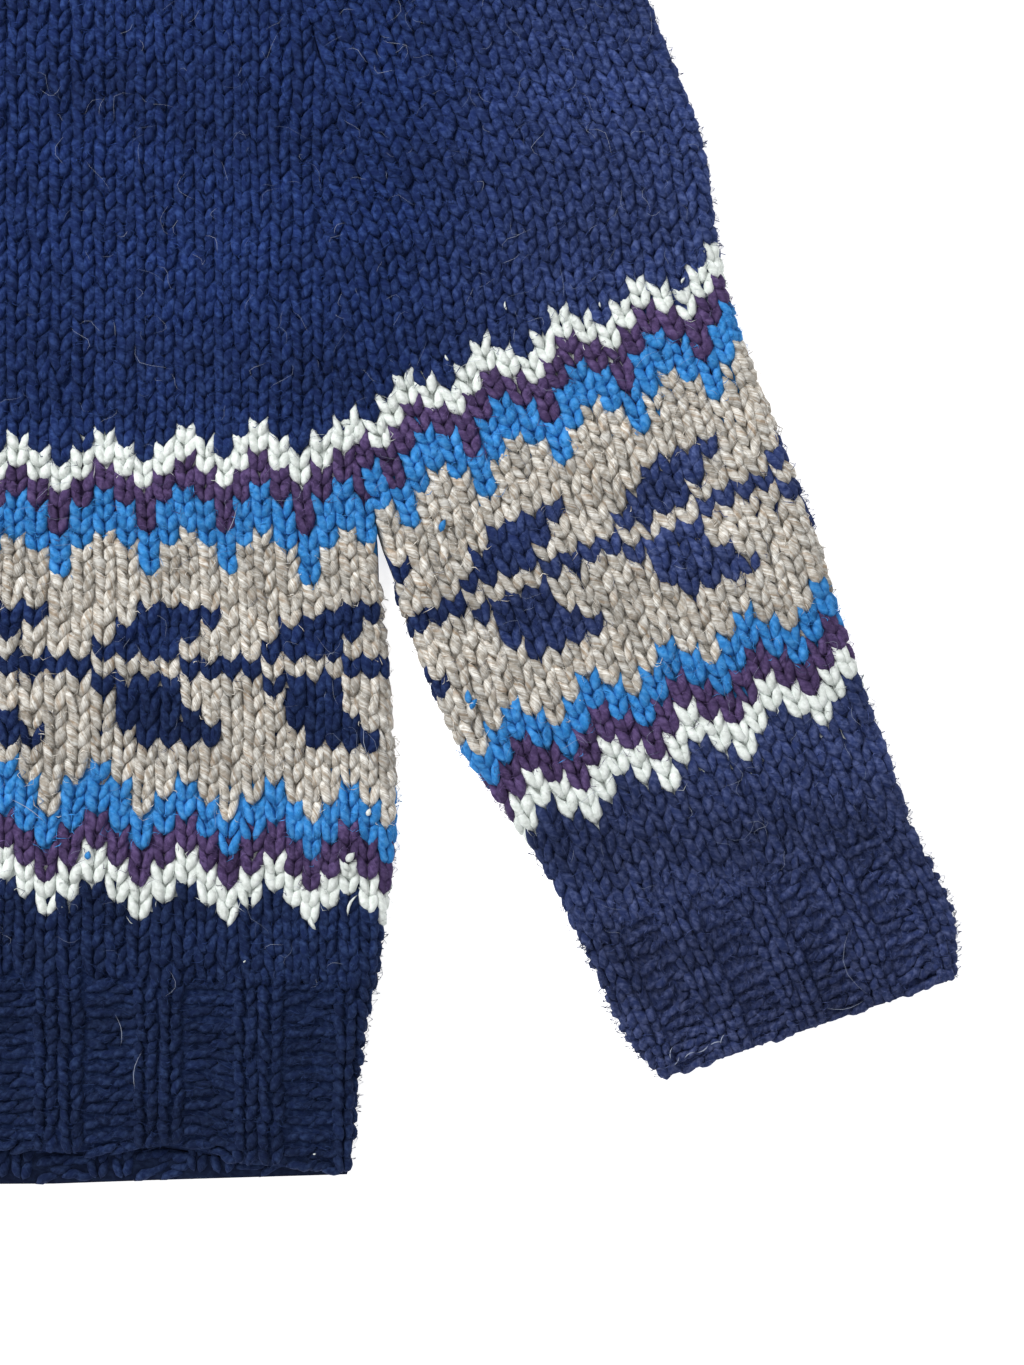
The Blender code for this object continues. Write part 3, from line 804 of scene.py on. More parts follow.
class MeshMaker:
    """Collects grids and strands and makes one mesh of them, with a UV map along and round the yarn."""

    def __init__(self) -> None:
        """Starts with nothing."""
        self.points: list[Array] = []
        self.tones: list[Array] = []
        self.loops: list[Array] = []
        self.sizes: list[Array] = []
        self.uvs: list[Array] = []
        self.numbers: list[Array] = []
        self.count = 0

    def add_points(self, points: Array, tones: Array) -> int:
        """Adds points.

        Args:
            points: The points, in the frame's metres.
            tones: A tone for each.

        Returns:
            The number of the first.
        """
        first = self.count
        self.points.append(points.reshape(-1, 3))
        self.tones.append(tones.reshape(-1))
        self.count += len(self.points[-1])
        return first

    def add_faces(self, corners: Array, uvs: Array, material: Array) -> None:
        """Adds faces that all have the same number of corners.

        Args:
            corners: Point numbers, one row for each face.
            uvs: A place along and round the yarn for each corner.
            material: The material number of each face.
        """
        self.loops.append(corners.reshape(-1))
        self.sizes.append(np.full(len(corners), corners.shape[1]))
        self.uvs.append(uvs.reshape(-1, 2))
        self.numbers.append(material)

    def add_grid(self, grid: Array, material: Array, flip: bool) -> Array:
        """Adds a grid of points with a face in each cell, whose UVs run up and across the cell.

        Args:
            grid: Points, rows by columns by three.
            material: The material number of each cell.
            flip: Whether the faces look the other way.

        Returns:
            The point numbers, rows by columns.
        """
        rows, columns = grid.shape[:2]
        rng = np.random.default_rng(SEED)
        ids = self.add_points(grid, rng.random((rows, columns))) + np.arange(rows * columns)
        ids = ids.reshape(rows, columns)
        corners = np.stack([ids[:-1, :-1], ids[:-1, 1:], ids[1:, 1:], ids[1:, :-1]], -1).reshape(-1, 4)
        uvs = np.tile(np.array([[0.0, 0.0], [0.0, 0.5], [1.0, 0.5], [1.0, 0.0]]), (len(corners), 1, 1))
        uvs[..., 0] += rng.integers(0, 40, len(corners))[:, None]
        if flip:
            corners, uvs = corners[:, ::-1], uvs[:, ::-1]
        self.add_faces(corners, uvs, material.reshape(-1))
        return ids

    def bridge(self, outer: Array, inner: Array, flip: bool) -> None:
        """Fills the strip between two runs of points with triangles.

        Each step along the longer run takes the nearest point of the shorter one, and each step along the
        shorter run closes the gap where that point changes.

        Args:
            outer: Point numbers of the longer run.
            inner: Point numbers of the shorter run.
            flip: Whether the faces look the other way.
        """
        steps = np.arange(len(outer))
        near = np.round(steps * (len(inner) - 1) / (len(outer) - 1)).astype(int)
        long = np.stack([outer[:-1], outer[1:], inner[near[:-1]]], -1)
        turns = np.nonzero(near[1:] != near[:-1])[0]
        short = np.stack([inner[near[turns]], outer[turns + 1], inner[near[turns + 1]]], -1)
        corners = np.concatenate([long, short])
        corners = corners[:, ::-1] if flip else corners
        uvs = np.tile(np.array([[0.0, 0.0], [0.0, 0.5], [1.0, 0.25]]), (len(corners), 1, 1))
        self.add_faces(corners, uvs, np.zeros(len(corners), int))

    def add_strands(self, strands: Strands, surface: Surface, detail: Detail) -> None:
        """Adds closed, tapering lengths of yarn.

        A strand's rings stand square to its path. A ring's radius follows the sine of its place along the
        strand, raised to a power under 1 so that the strand is plump and its ends come to a point.

        Args:
            strands: The paths, in the surface's own two measures.
            surface: Gives the point and the normal for each place of a path.
            detail: How many rings and sides each strand has.
        """
        rings, sides = detail.value
        total = len(strands.across)
        if not total:
            return
        centres, normals = surface(strands.across, strands.up)
        centres = centres + normals * strands.lift[..., None]
        forward = unit(np.gradient(centres, axis=1))
        sideways = unit(np.cross(normals, forward))
        upright = np.cross(forward, sideways)
        turn = (2 * math.pi * np.arange(sides) / sides)[None, None, :, None]
        along = np.arange(1, rings + 1) / (rings + 1)
        profile = np.sin(math.pi * along**0.85) ** PLUMPNESS
        lumps = np.random.default_rng(total).normal(1, LUMPS, (total, rings))
        radius = strands.radius[:, None] * profile * lumps
        ring = sideways[:, 1:-1, None] * np.cos(turn) + upright[:, 1:-1, None] * np.sin(turn)
        tube = centres[:, 1:-1, None] + ring * radius[..., None, None]
        points = np.concatenate([centres[:, :1], tube.reshape(total, -1, 3), centres[:, -1:]], 1)
        points[..., 2] = np.maximum(points[..., 2], LOWEST_YARN)
        each = points.shape[1]
        first = self.add_points(in_frame(points), np.repeat(strands.tone, each))
        start = first + each * np.arange(total)[:, None, None]
        number = 1 + np.arange(rings * sides).reshape(rings, sides)
        after = np.roll(number, -1, 1)
        quads = np.stack([number[:-1], after[:-1], after[1:], number[1:]], -1).reshape(-1, 4)
        foot = np.stack([0 * number[0], after[0], number[0]], -1)
        head = np.stack([0 * number[0] + each - 1, number[-1], after[-1]], -1)
        at = np.broadcast_to(along[:, None], (rings, sides))
        low = np.broadcast_to(np.arange(sides) / sides, (rings, sides))
        high = low + 1 / sides
        middle = (low + high)[0] / 2
        lower, upper = ((at[:-1], low[:-1]), (at[:-1], high[:-1])), ((at[1:], high[1:]), (at[1:], low[1:]))
        quad_uv = uv_corners(*lower, *upper)
        foot_uv = uv_corners((0 * middle, middle), (at[0], high[0]), (at[0], low[0]))
        head_uv = uv_corners((0 * middle + 1, middle), (at[-1], low[-1]), (at[-1], high[-1]))
        shift = np.floor(strands.tone * UV_SHIFTS)[:, None, None]
        for corners, uv in ((quads, quad_uv), (foot, foot_uv), (head, head_uv)):
            every = (start + corners[None]).reshape(-1, corners.shape[1])
            moved = np.broadcast_to(uv[None], (total, *uv.shape)).copy()
            moved[..., 0] += shift
            self.add_faces(every, moved, np.zeros(len(every), int))

    def build(self, name: str, materials: list[Material]) -> Object:
        """Makes the object.

        Args:
            name: The piece's name.
            materials: Its materials, in the order of the faces' material numbers.

        Returns:
            The object, at the origin and smooth.
        """
        sizes = np.concatenate(self.sizes)
        mesh = bpy.data.meshes.new(name)
        mesh.vertices.add(self.count)
        mesh.vertices.foreach_set("co", np.concatenate(self.points).astype(np.float32).reshape(-1))
        mesh.loops.add(int(sizes.sum()))
        mesh.loops.foreach_set("vertex_index", np.concatenate(self.loops).astype(np.int32))
        mesh.polygons.add(len(sizes))
        mesh.polygons.foreach_set("loop_start", (np.cumsum(sizes) - sizes).astype(np.int32))
        mesh.polygons.foreach_set("material_index", np.concatenate(self.numbers).astype(np.int32))
        mesh.update(calc_edges=True)
        layer = mesh.uv_layers.new(name="Yarn")
        layer.data.foreach_set("uv", np.concatenate(self.uvs).astype(np.float32).reshape(-1))
        tone = mesh.attributes.new("tone", "FLOAT", "POINT")
        tone.data.foreach_set("value", np.concatenate(self.tones).astype(np.float32))
        mesh.shade_smooth()
        for material in materials:
            mesh.materials.append(material)
        piece = bpy.data.objects.new(name, mesh)
        bpy.context.scene.collection.objects.link(piece)
        return piece


@dataclass(frozen=True)
class StitchShape:
    """The form of one leg of a knit stitch, in stitches across, rows up and millimetres.

    Args:
        foot: How far from the column's middle the leg starts.
        head: How far from the middle it ends, behind the next row.
        rise: How many rows it spans.
        bow: The power that bows the leg outwards.
        peak: How far its middle lifts off the cloth.
        sink: How far its head goes down behind the next stitch.
        radius: Its greatest radius.
        uneven: How much the stitches vary, since they are knitted by hand.
    """

    foot: float = 0.03
    head: float = 0.50
    rise: float = 1.85
    bow: float = 0.9
    peak: float = 0.85
    sink: float = 2.1
    radius: float = 1.9
    uneven: float = 1.35

    def strands(self, columns: Array, rows: Array, rng: np.random.Generator, detail: Detail) -> Strands:
        """Both legs of each stitch, the left ones first.

        Args:
            columns: The middle of each stitch.
            rows: The row line that its foot stands on, counted down.
            rng: Where the unevenness comes from.
            detail: How many rings a leg has.

        Returns:
            The strands, with `up` holding row numbers.
        """
        side = np.repeat([-1.0, 1.0], len(columns))[:, None]
        columns, rows = np.tile(columns, 2)[:, None], np.tile(rows, 2)[:, None]
        t = detail.steps[None]

        def vary(amount: float) -> Array:
            """A small difference for each leg."""
            return rng.normal(0, amount * self.uneven, (len(columns), 1))

        spread = self.foot + (self.head - self.foot) * t**self.bow
        across = columns + side * (spread + vary(0.025)) + vary(0.02) + vary(0.03) * t
        up = rows - vary(0.07) - (self.rise + vary(0.06)) * t
        lift = (self.peak + vary(0.16)) * np.sin(math.pi * t**0.72) - self.sink * t**2 - KNIT_DEPTH
        radius = self.radius * (1 + vary(0.06)[:, 0])
        return Strands(across, up, lift, radius, rng.random(len(columns)))


@dataclass(frozen=True)
class PurlShape:
    """The form of the bump of a purl stitch: a short arch lying across its column.

    Args:
        half: Half its width, in stitches.
        arch: How far it bends up or down, in rows.
        peak: How far its middle lifts off the cloth.
        radius: Its greatest radius.
    """

    half: float = 0.52
    arch: float = 0.24
    peak: float = 1.2
    radius: float = 1.6

    def strands(self, columns: Array, rows: Array, rng: np.random.Generator, detail: Detail) -> Strands:
        """Two arches for each stitch, half a row and half a column apart, the upper one curving upwards.

        Args:
            columns: The middle of each stitch.
            rows: Its row, counted down.
            rng: Where the unevenness comes from.
            detail: How many rings an arch has.

        Returns:
            The strands, with `up` holding row numbers.
        """
        turned = np.repeat([1.0, -1.0], len(columns))[:, None]
        columns = np.concatenate([columns, columns + 0.45])
        rows = np.concatenate([rows, rows - 0.5])
        t = detail.steps[None]

        def vary(amount: float) -> Array:
            """A small difference for each arch."""
            return rng.normal(0, amount, (len(columns), 1))

        across = columns[:, None] + self.half * (2 * t - 1) + vary(0.04)
        up = rows[:, None] - self.arch * turned * np.sin(math.pi * t) + vary(0.12)
        up = up - (0.16 + vary(0.14)) * (2 * t - 1)
        lift = (self.peak + vary(0.15)) * np.sin(math.pi * t) - KNIT_DEPTH - PURL_DEPTH
        return Strands(across, up, lift, self.radius * (1 + vary(0.08)[:, 0]), rng.random(len(columns)))


RIB_SHAPES = (StitchShape(rise=1.6, foot=0.10, head=0.42, radius=1.75), PurlShape())
NECK_SHAPES = (StitchShape(rise=1.7, radius=1.6), PurlShape(radius=1.3))


class Nodes:
    """A new material, and the means to add shader nodes to it and link them."""

    def __init__(self, name: str) -> None:
        """Makes the material, and keeps its Principled shader.

        Args:
            name: The material's name.
        """
        self.material = bpy.data.materials.new(name)
        self.material.use_nodes = True
        self.tree = self.material.node_tree
        self.shader = self.tree.nodes["Principled BSDF"]

    def add(self, kind: str, inputs: dict | None = None, **settings: object) -> bpy.types.Node:
        """Adds a node.

        Args:
            kind: The node's type name, without its ShaderNode prefix.
            inputs: For each input's name or number, a value or the output to link.
            settings: The node's own settings.

        Returns:
            The node.
        """
        node = self.tree.nodes.new("ShaderNode" + kind)
        for key, value in settings.items():
            setattr(node, key, value)
        self.set(node, inputs or {})
        return node

    def set(self, node: bpy.types.Node, inputs: dict) -> None:
        """Gives a node's inputs their values, or links them.

        Args:
            node: The node.
            inputs: For each input's name or number, a value or the output to link.
        """
        for key, value in inputs.items():
            if isinstance(value, bpy.types.NodeSocket):
                self.tree.links.new(value, node.inputs[key])
            else:
                node.inputs[key].default_value = value

    def maths(self, operation: str, first: object, second: object = 0.0, third: object = 0.0) -> object:
        """The output of one Math node."""
        return self.add("Math", {0: first, 1: second, 2: third}, operation=operation).outputs[0]

    def times(self, first: object, second: object) -> object:
        """One value times another."""
        return self.maths("MULTIPLY", first, second)

    def noise(self, place: object, scale: float, detail: float) -> object:
        """The output of one Noise node."""
        return self.add("TexNoise", {"Vector": place, "Scale": scale, "Detail": detail}).outputs[0]

    def moved(self, place: object, scale: Colour) -> object:
        """A place that is drawn out by a Mapping node."""
        return self.add("Mapping", {"Vector": place, "Scale": scale}).outputs[0]

    def ramp(
        self, value: object, low: float, high: float, to: tuple = (0.0, 1.0), clamp: bool = True
    ) -> object:
        """The value brought from between low and high to the span of `to`."""
        span = {"From Min": low, "From Max": high, "To Min": to[0], "To Max": to[1]}
        return self.add("MapRange", {"Value": value, **span}, clamp=clamp).outputs[0]

    def blend(self, share: object, low: object, high: object, mode: str = "MIX") -> object:
        """The output of one colour Mix node."""
        low, high = ((*each, 1.0) if isinstance(each, tuple) else each for each in (low, high))
        return self.add("Mix", {0: share, 6: low, 7: high}, data_type="RGBA", blend_type=mode).outputs[2]

    def over(self, body: object, share: object, weight: float, colour: Colour) -> object:
        """A body colour with another laid over it, as far as the share times the weight says."""
        return self.blend(self.times(share, weight), body, colour)


@dataclass(frozen=True)
class WoolFinish:
    """One wool: its colours, how its plies show, and how matt and fuzzy it is.

    Args:
        colour: Its main colour.
        dark_fibres_and_groove_shade: The colour of its darker fibres, and of the painted shade in the
            grooves between its plies.
        pale: The colour of its lighter fibres, and of the painted sheen of its fuzz.
        flecks: How much of a marled yarn's lighter and darker strands shows, from 0 to 1.
        ply: How deep the groove between the plies is, as bump, and how strongly shade is painted into it.
        uneven_dye: How much the shade wanders over the garment.
        uneven_tone: How much it changes from one strand to the next.
        nap: How many short fibres stand out of each stitch.
        sheen: The weight of the soft shine of its nap.
        painted_light: Painted light and shade: what its colour is multiplied by at the hem, the yoke, the
            cuff and the upper sleeve.
        tuft: The colour of the odd tufts spun into it, if any.
        fuzz_painted_sheen: How much painted sheen its fine surface fibres lay over it, in flecks of the
            pale colour.
        turns: How many times a groove crosses one stitch.
    """

    colour: Colour
    dark_fibres_and_groove_shade: Colour
    pale: Colour
    flecks: float
    ply: float
    uneven_dye: float
    uneven_tone: float
    nap: float
    sheen: float
    painted_light: tuple[Colour, ...] = ((1.0, 1.0, 1.0),) * 4
    tuft: Colour | None = None
    fuzz_painted_sheen: float = 0.3
    turns: float = 2.5

    def material(self, name: str, flat: bool = False, painted_light_gain: float = 1.0) -> Material:
        """Makes the material.

        Grooves between plies are where the absolute sine of the place round the yarn plus its twist is
        small, and painted shade darkens them.
        Fibres are a noise drawn out along the twist, and fuzz is a fine noise in the object's space, whose
        light flecks are painted sheen.

        Args:
            name: The material's name.
            flat: Whether it is for a flat cloth face, which shows its stitches by bump alone.
            painted_light_gain: What every colour of it is multiplied by: below 1 for a copy with painted
                shade, above 1 for a copy with painted light.

        Returns:
            The material.
        """
        nodes = Nodes(name)
        uv = nodes.add("UVMap", uv_map="Yarn").outputs[0]
        along, round_yarn = nodes.add("SeparateXYZ", {0: uv}).outputs[:2]
        place = nodes.add("TexCoord").outputs["Object"]
        tone = nodes.add("Attribute", attribute_name="tone").outputs["Fac"]
        twist = nodes.maths("MULTIPLY_ADD", along, self.turns, nodes.times(round_yarn, 2.0))
        groove = nodes.maths("ABSOLUTE", nodes.maths("SINE", nodes.times(twist, math.pi)))
        drawn_out = {0: nodes.times(along, 1.3), 1: nodes.times(twist, 3.6), 2: tone}
        fibre_place = nodes.add("CombineXYZ", drawn_out).outputs[0]
        fibre = nodes.noise(fibre_place, FIBRE_SCALE, 3.0)
        fuzz = nodes.noise(place, FUZZ_SCALE, 4.0)
        wander = nodes.noise(nodes.moved(place, DYE_SCALE), 1.0, 2.0)
        body = nodes.over(self.colour, nodes.ramp(fibre, 0.38, 0.62), self.flecks, self.pale)
        if self.tuft is not None:
            tufts = nodes.noise(nodes.moved(fibre_place, TUFT_SCALE), 1.6, 2.0)
            body = nodes.over(body, nodes.ramp(tufts, 0.54, 0.68), 0.85, self.tuft)
        body = nodes.over(body, nodes.ramp(fuzz, 0.54, 0.36), 0.5, self.dark_fibres_and_groove_shade)
        # painted sheen: light flecks of the fuzz
        body = nodes.over(body, nodes.ramp(fuzz, 0.49, 0.64), self.fuzz_painted_sheen, self.pale)
        # painted shade in the grooves between the plies
        body = nodes.over(body, nodes.maths("SUBTRACT", 1.0, groove), self.ply, self.dark_fibres_and_groove_shade)
        shade = nodes.ramp(tone, 0.0, 1.0, (1 - self.uneven_tone, 1 + self.uneven_tone), clamp=False)
        dye = nodes.ramp(wander, 0.3, 0.7, (1 - self.uneven_dye, 1 + self.uneven_dye))
        level = nodes.times(shade, dye)
        grey = nodes.add("CombineColor", {0: level, 1: level, 2: level}).outputs[0]
        body = nodes.blend(1.0, body, grey, "MULTIPLY")
        # painted light and shade: the navy is darker towards the hem and lighter out along the sleeve
        body = nodes.blend(1.0, body, self._painted_light(nodes, place, painted_light_gain), "MULTIPLY")
        height = nodes.maths("MULTIPLY_ADD", groove, 0.45 * self.ply + 0.1, nodes.times(fibre, 0.35))
        height = nodes.maths("MULTIPLY_ADD", fuzz, 0.5, height)
        if flat:
            across = nodes.maths("SINE", nodes.times(round_yarn, 2 * math.pi))
            height = nodes.maths("MULTIPLY_ADD", across, 2.2, height)
        bump = nodes.add("Bump", {"Height": height, "Distance": BUMP_DEPTH, "Strength": BUMP_STRENGTH})
        nodes.set(nodes.shader, {"Base Color": body, "Normal": bump.outputs[0]})
        nodes.set(nodes.shader, {"Roughness": ROUGHNESS, "Specular IOR Level": SPECULAR})
        nodes.set(nodes.shader, {"Sheen Weight": self.sheen, "Sheen Roughness": SHEEN_ROUGHNESS})
        nodes.set(nodes.shader, {"Sheen Tint": (*self.pale, 1)})
        return nodes.material

    def _painted_light(self, nodes: Nodes, place: object, painted_light_gain: float) -> object:
        """What the colour is multiplied by: the four factors of painted light and shade, blended by height
        and by distance sideways.

        Args:
            nodes: The material's nodes.
            place: The place in the object's space.
            painted_light_gain: What those factors are multiplied by in turn: the painted shade and light of
                a whole copy of the material.

        Returns:
            The output that holds the tint.
        """
        where = nodes.add("SeparateXYZ", {0: place}).outputs
        rise = nodes.ramp(where[1], PAINTED_LIGHT_FOOT_Y, PAINTED_LIGHT_TOP_Y)
        out = nodes.ramp(nodes.maths("ABSOLUTE", where[0]), PAINTED_LIGHT_ARMPIT_X, PAINTED_LIGHT_SLEEVE_X)
        hem, yoke, cuff, sleeve = (tuple(painted_light_gain * part for part in painted_factor) for painted_factor in self.painted_light)
        return nodes.blend(out, nodes.blend(rise, hem, yoke), nodes.blend(rise, cuff, sleeve))


WOOLS = {
    Yarn.NAVY: WoolFinish(
        (0.0088, 0.0195, 0.078), (0.0040, 0.0105, 0.064), (0.042, 0.070, 0.200), flecks=0.40, ply=0.35,
        uneven_dye=0.25, uneven_tone=0.20, nap=6.0, sheen=0.45, fuzz_painted_sheen=0.55,
        # painted light and shade: darker at the hem and the yoke, lighter at the cuff and up the sleeve
        painted_light=((0.57, 0.62, 0.57), (0.72, 0.89, 1.02), (1.95, 1.40, 1.02), (2.10, 1.76, 1.50)),
    ),
    Yarn.CREAM: WoolFinish(
        (0.74, 0.79, 0.76), (0.50, 0.54, 0.50), (0.90, 0.93, 0.92), flecks=0.4, ply=0.3,
        uneven_dye=0.04, uneven_tone=0.06, nap=1.5, sheen=0.15,
    ),
    Yarn.PURPLE: WoolFinish(
        (0.066, 0.038, 0.115), (0.028, 0.016, 0.052), (0.150, 0.105, 0.235), flecks=0.35, ply=0.35,
        uneven_dye=0.12, uneven_tone=0.2, nap=6.0, sheen=0.2,
    ),
    Yarn.BLUE: WoolFinish(
        (0.024, 0.215, 0.560), (0.010, 0.100, 0.320), (0.120, 0.360, 0.720), flecks=0.35, ply=0.35,
        uneven_dye=0.08, uneven_tone=0.15, nap=5.0, sheen=0.2,
    ),
    Yarn.OATMEAL: WoolFinish(
        (0.405, 0.362, 0.305), (0.215, 0.185, 0.148), (0.780, 0.775, 0.740), flecks=0.95, ply=0.42,
        uneven_dye=0.08, uneven_tone=0.24, nap=2.5, sheen=0.15, tuft=(0.345, 0.245, 0.160),
    ),
}  # fmt: skip


class YarnBasket:
    """The materials of the five yarns, for stitches and for flat faces, and a pale one for stray hairs."""

    def __init__(self) -> None:
        """Makes every material once."""
        self.strand = {yarn: WOOLS[yarn].material(yarn.slot) for yarn in YARNS}
        self.cloth = [WOOLS[yarn].material(yarn.slot + "_cloth", flat=True) for yarn in YARNS[1:]]
        # painted shade: the navy of the flat cloth, which the back and the neckband are made of, is
        # darkened
        self.cloth.insert(0, WOOLS[Yarn.NAVY].material("navy_wool_cloth", flat=True, painted_light_gain=FLAT_NAVY_PAINTED_SHADE))
        # painted light: the navy of the cloth behind the stitches is lightened, so that the gaps between
        # them are less dark
        behind = WOOLS[Yarn.NAVY].material("navy_wool_behind", flat=True, painted_light_gain=BEHIND_PAINTED_LIGHT)
        self.behind = [behind, *self.cloth[1:]]
        self.hair = self._hair()

    @staticmethod
    def _hair() -> Material:
        """The finish of the pale guard hairs that stand out of the wool.

        Returns:
            The material.
        """
        nodes = Nodes("stray_hair")
        tone = nodes.add("Attribute", attribute_name="tone").outputs["Fac"]
        shade = nodes.blend(tone, (0.07, 0.10, 0.20), (0.38, 0.42, 0.52))
        nodes.set(nodes.shader, {"Base Color": shade, "Roughness": 0.6})
        return nodes.material


def dress(piece: Object, slot: str) -> Object:
    """Makes a piece ride with the garment, and logs how many faces it has.

    Args:
        piece: The piece.
        slot: The record's material slot; not used.

    Returns:
        The same piece.
    """
    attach(piece, "root")
    log.info("%s: %d faces", piece.name, len(piece.data.polygons))
    return piece


@dataclass(frozen=True)
class Fibre:
    """A kind of fibre.

    Args:
        length: How much longer than the shortest it is on average, in stitches.
        shortest: The length of the shortest, in stitches.
        lift: How high its ends lie over the cloth.
        rise: How far its middle stands up from them.
        radius: Its usual radius.
        palest: Its greatest tone.
        detail: How many rings and sides it has.
    """

    length: float
    shortest: float
    lift: float
    rise: float
    radius: float
    palest: float
    detail: Detail

    def strands(self, columns: Array, rows: Array, rng: np.random.Generator) -> Strands:
        """Bent fibres in any direction, which rise from the cloth and come back to it.

        Args:
            columns: Where each fibre's middle lies.
            rows: Likewise.
            rng: Where the unevenness comes from.

        Returns:
            The strands.
        """
        count = len(columns)
        t = self.detail.steps[None]
        way = rng.uniform(0, 2 * math.pi, (count, 1))
        length = rng.gamma(3.0, self.length / 3, (count, 1)) + self.shortest
        bend = rng.normal(0, 0.3, (count, 1)) * length * np.sin(math.pi * t)
        curl = rng.normal(0, 0.1, (count, 1)) * length * np.sin(2 * math.pi * t)
        across = columns[:, None] + length * np.cos(way) * (t - 0.5) - (bend + curl) * np.sin(way)
        up = rows[:, None] + length * np.sin(way) * (t - 0.5) * 1.3 + (bend + curl) * np.cos(way)
        lift = self.lift + rng.uniform(0.4, 1.0, (count, 1)) * self.rise * np.sin(math.pi * t)
        radius = rng.uniform(0.7, 1.3, count) * self.radius
        return Strands(across, up, lift, radius, rng.uniform(0, self.palest, count))


FUZZ = Fibre(0.45, 0.25, -1.0, 3.4, 0.15, 3.0, Detail.FUZZ)
GUARD_HAIR = Fibre(0.8, 0.25, 0.1, 2.0, 0.05, 1.0, Detail.HAIR)


@dataclass
class KnitGroup:
    """Stitches, kept by zone and yarn until they are made into pieces.

    Args:
        name: What the names of its pieces start with.
        rng: Where the unevenness comes from.
        makers: The mesh of each zone and yarn.
    """

    name: str
    rng: np.random.Generator
    makers: dict[tuple[str, Yarn], MeshMaker] = field(default_factory=dict)

    def add(
        self,
        zone: str,
        yarn: Yarn,
        shape: StitchShape | PurlShape,
        places: Pair,
        detail: Detail,
        surface: Surface,
        nap: bool = True,
    ) -> None:
        """Adds one yarn's stitches to a zone's mesh, and the short fibres of the nap over them.

        Args:
            zone: The zone's name.
            yarn: The yarn.
            shape: The kind of stitch.
            places: Columns and rows.
            detail: How fine the strands are; the nap is thinner where they are plain.
            surface: Gives the point and the normal at a column and a row.
            nap: Whether nap stands on them.
        """
        columns, rows = places
        if not len(columns):
            return
        maker = self.makers.setdefault((zone, yarn), MeshMaker())
        maker.add_strands(shape.strands(columns, rows, self.rng, detail), surface, detail)
        if nap:
            share = 1.0 if detail is Detail.FINE else FAR_NAP
            count = round(len(columns) * WOOLS[yarn].nap * share)
            picked = self.rng.integers(0, len(columns), count)
            across = columns[picked] + self.rng.uniform(-0.5, 0.5, count)
            down = rows[picked] - self.rng.uniform(0, 1, count)
            maker.add_strands(FUZZ.strands(across, down, self.rng), surface, Detail.FUZZ)

    def add_knitting(
        self, zone: str, here: Array, places: Pair, late: Array, detail: Detail, surface: Surface
    ) -> None:
        """Adds plain knitting to a zone, yarn by yarn.

        Args:
            zone: The zone's name.
            here: Which of the places belong to the zone.
            places: Columns and rows.
            late: Whether the lower blue peaks start a row later there.
            detail: How fine the strands are.
            surface: Gives the point and the normal at a column and a row.
        """
        columns, rows = places
        yarns = yarn_numbers(columns, rows, late)
        for number, yarn in enumerate(YARNS):
            mine = here & (yarns == number)
            self.add(zone, yarn, StitchShape(), (columns[mine], rows[mine]), detail, surface)

    def pieces(self, finishes: dict[Yarn, Material]) -> list[Object]:
        """Makes one piece for each zone and yarn.

        Args:
            finishes: The material of each yarn's strands.

        Returns:
            The pieces.
        """
        return [
            dress(maker.build(f"{self.name}_{zone}_{yarn.name.lower()}", [finishes[yarn]]), yarn.slot)
            for (zone, yarn), maker in self.makers.items()
        ]


def wall(
    name: str,
    outer: Array,
    inner: Array,
    numbers: Array,
    finishes: list[Material],
    flip: bool,
    ring: bool = False,
) -> Object:
    """One closed wall of cloth between its outer and its inner face.

    Args:
        name: The piece's name.
        outer: The outer face's points, rows by columns, in garment millimetres.
        inner: The inner face's points, with fewer rows and columns.
        numbers: The yarn number of each cell of the outer face.
        finishes: The materials of the flat yarns.
        flip: Whether the grid's own order makes the outer face look inwards.
        ring: Whether the last column meets the first.

    Returns:
        The object.
    """
    maker = MeshMaker()
    out_ids = maker.add_grid(in_frame(outer), numbers, flip)
    in_cells = np.zeros((inner.shape[0] - 1) * (inner.shape[1] - 1), int)
    in_ids = maker.add_grid(in_frame(inner), in_cells, not flip)
    maker.bridge(out_ids[0], in_ids[0], not flip)
    maker.bridge(out_ids[-1], in_ids[-1], flip)
    if not ring:
        maker.bridge(out_ids[:, 0], in_ids[:, 0], flip)
        maker.bridge(out_ids[:, -1], in_ids[:, -1], not flip)
    return dress(maker.build(name, finishes), Yarn.NAVY.slot)


@dataclass
class Knitwear:
    """What every part is made with: the materials, and where the unevenness comes from."""

    basket: YarnBasket
    rng: np.random.Generator


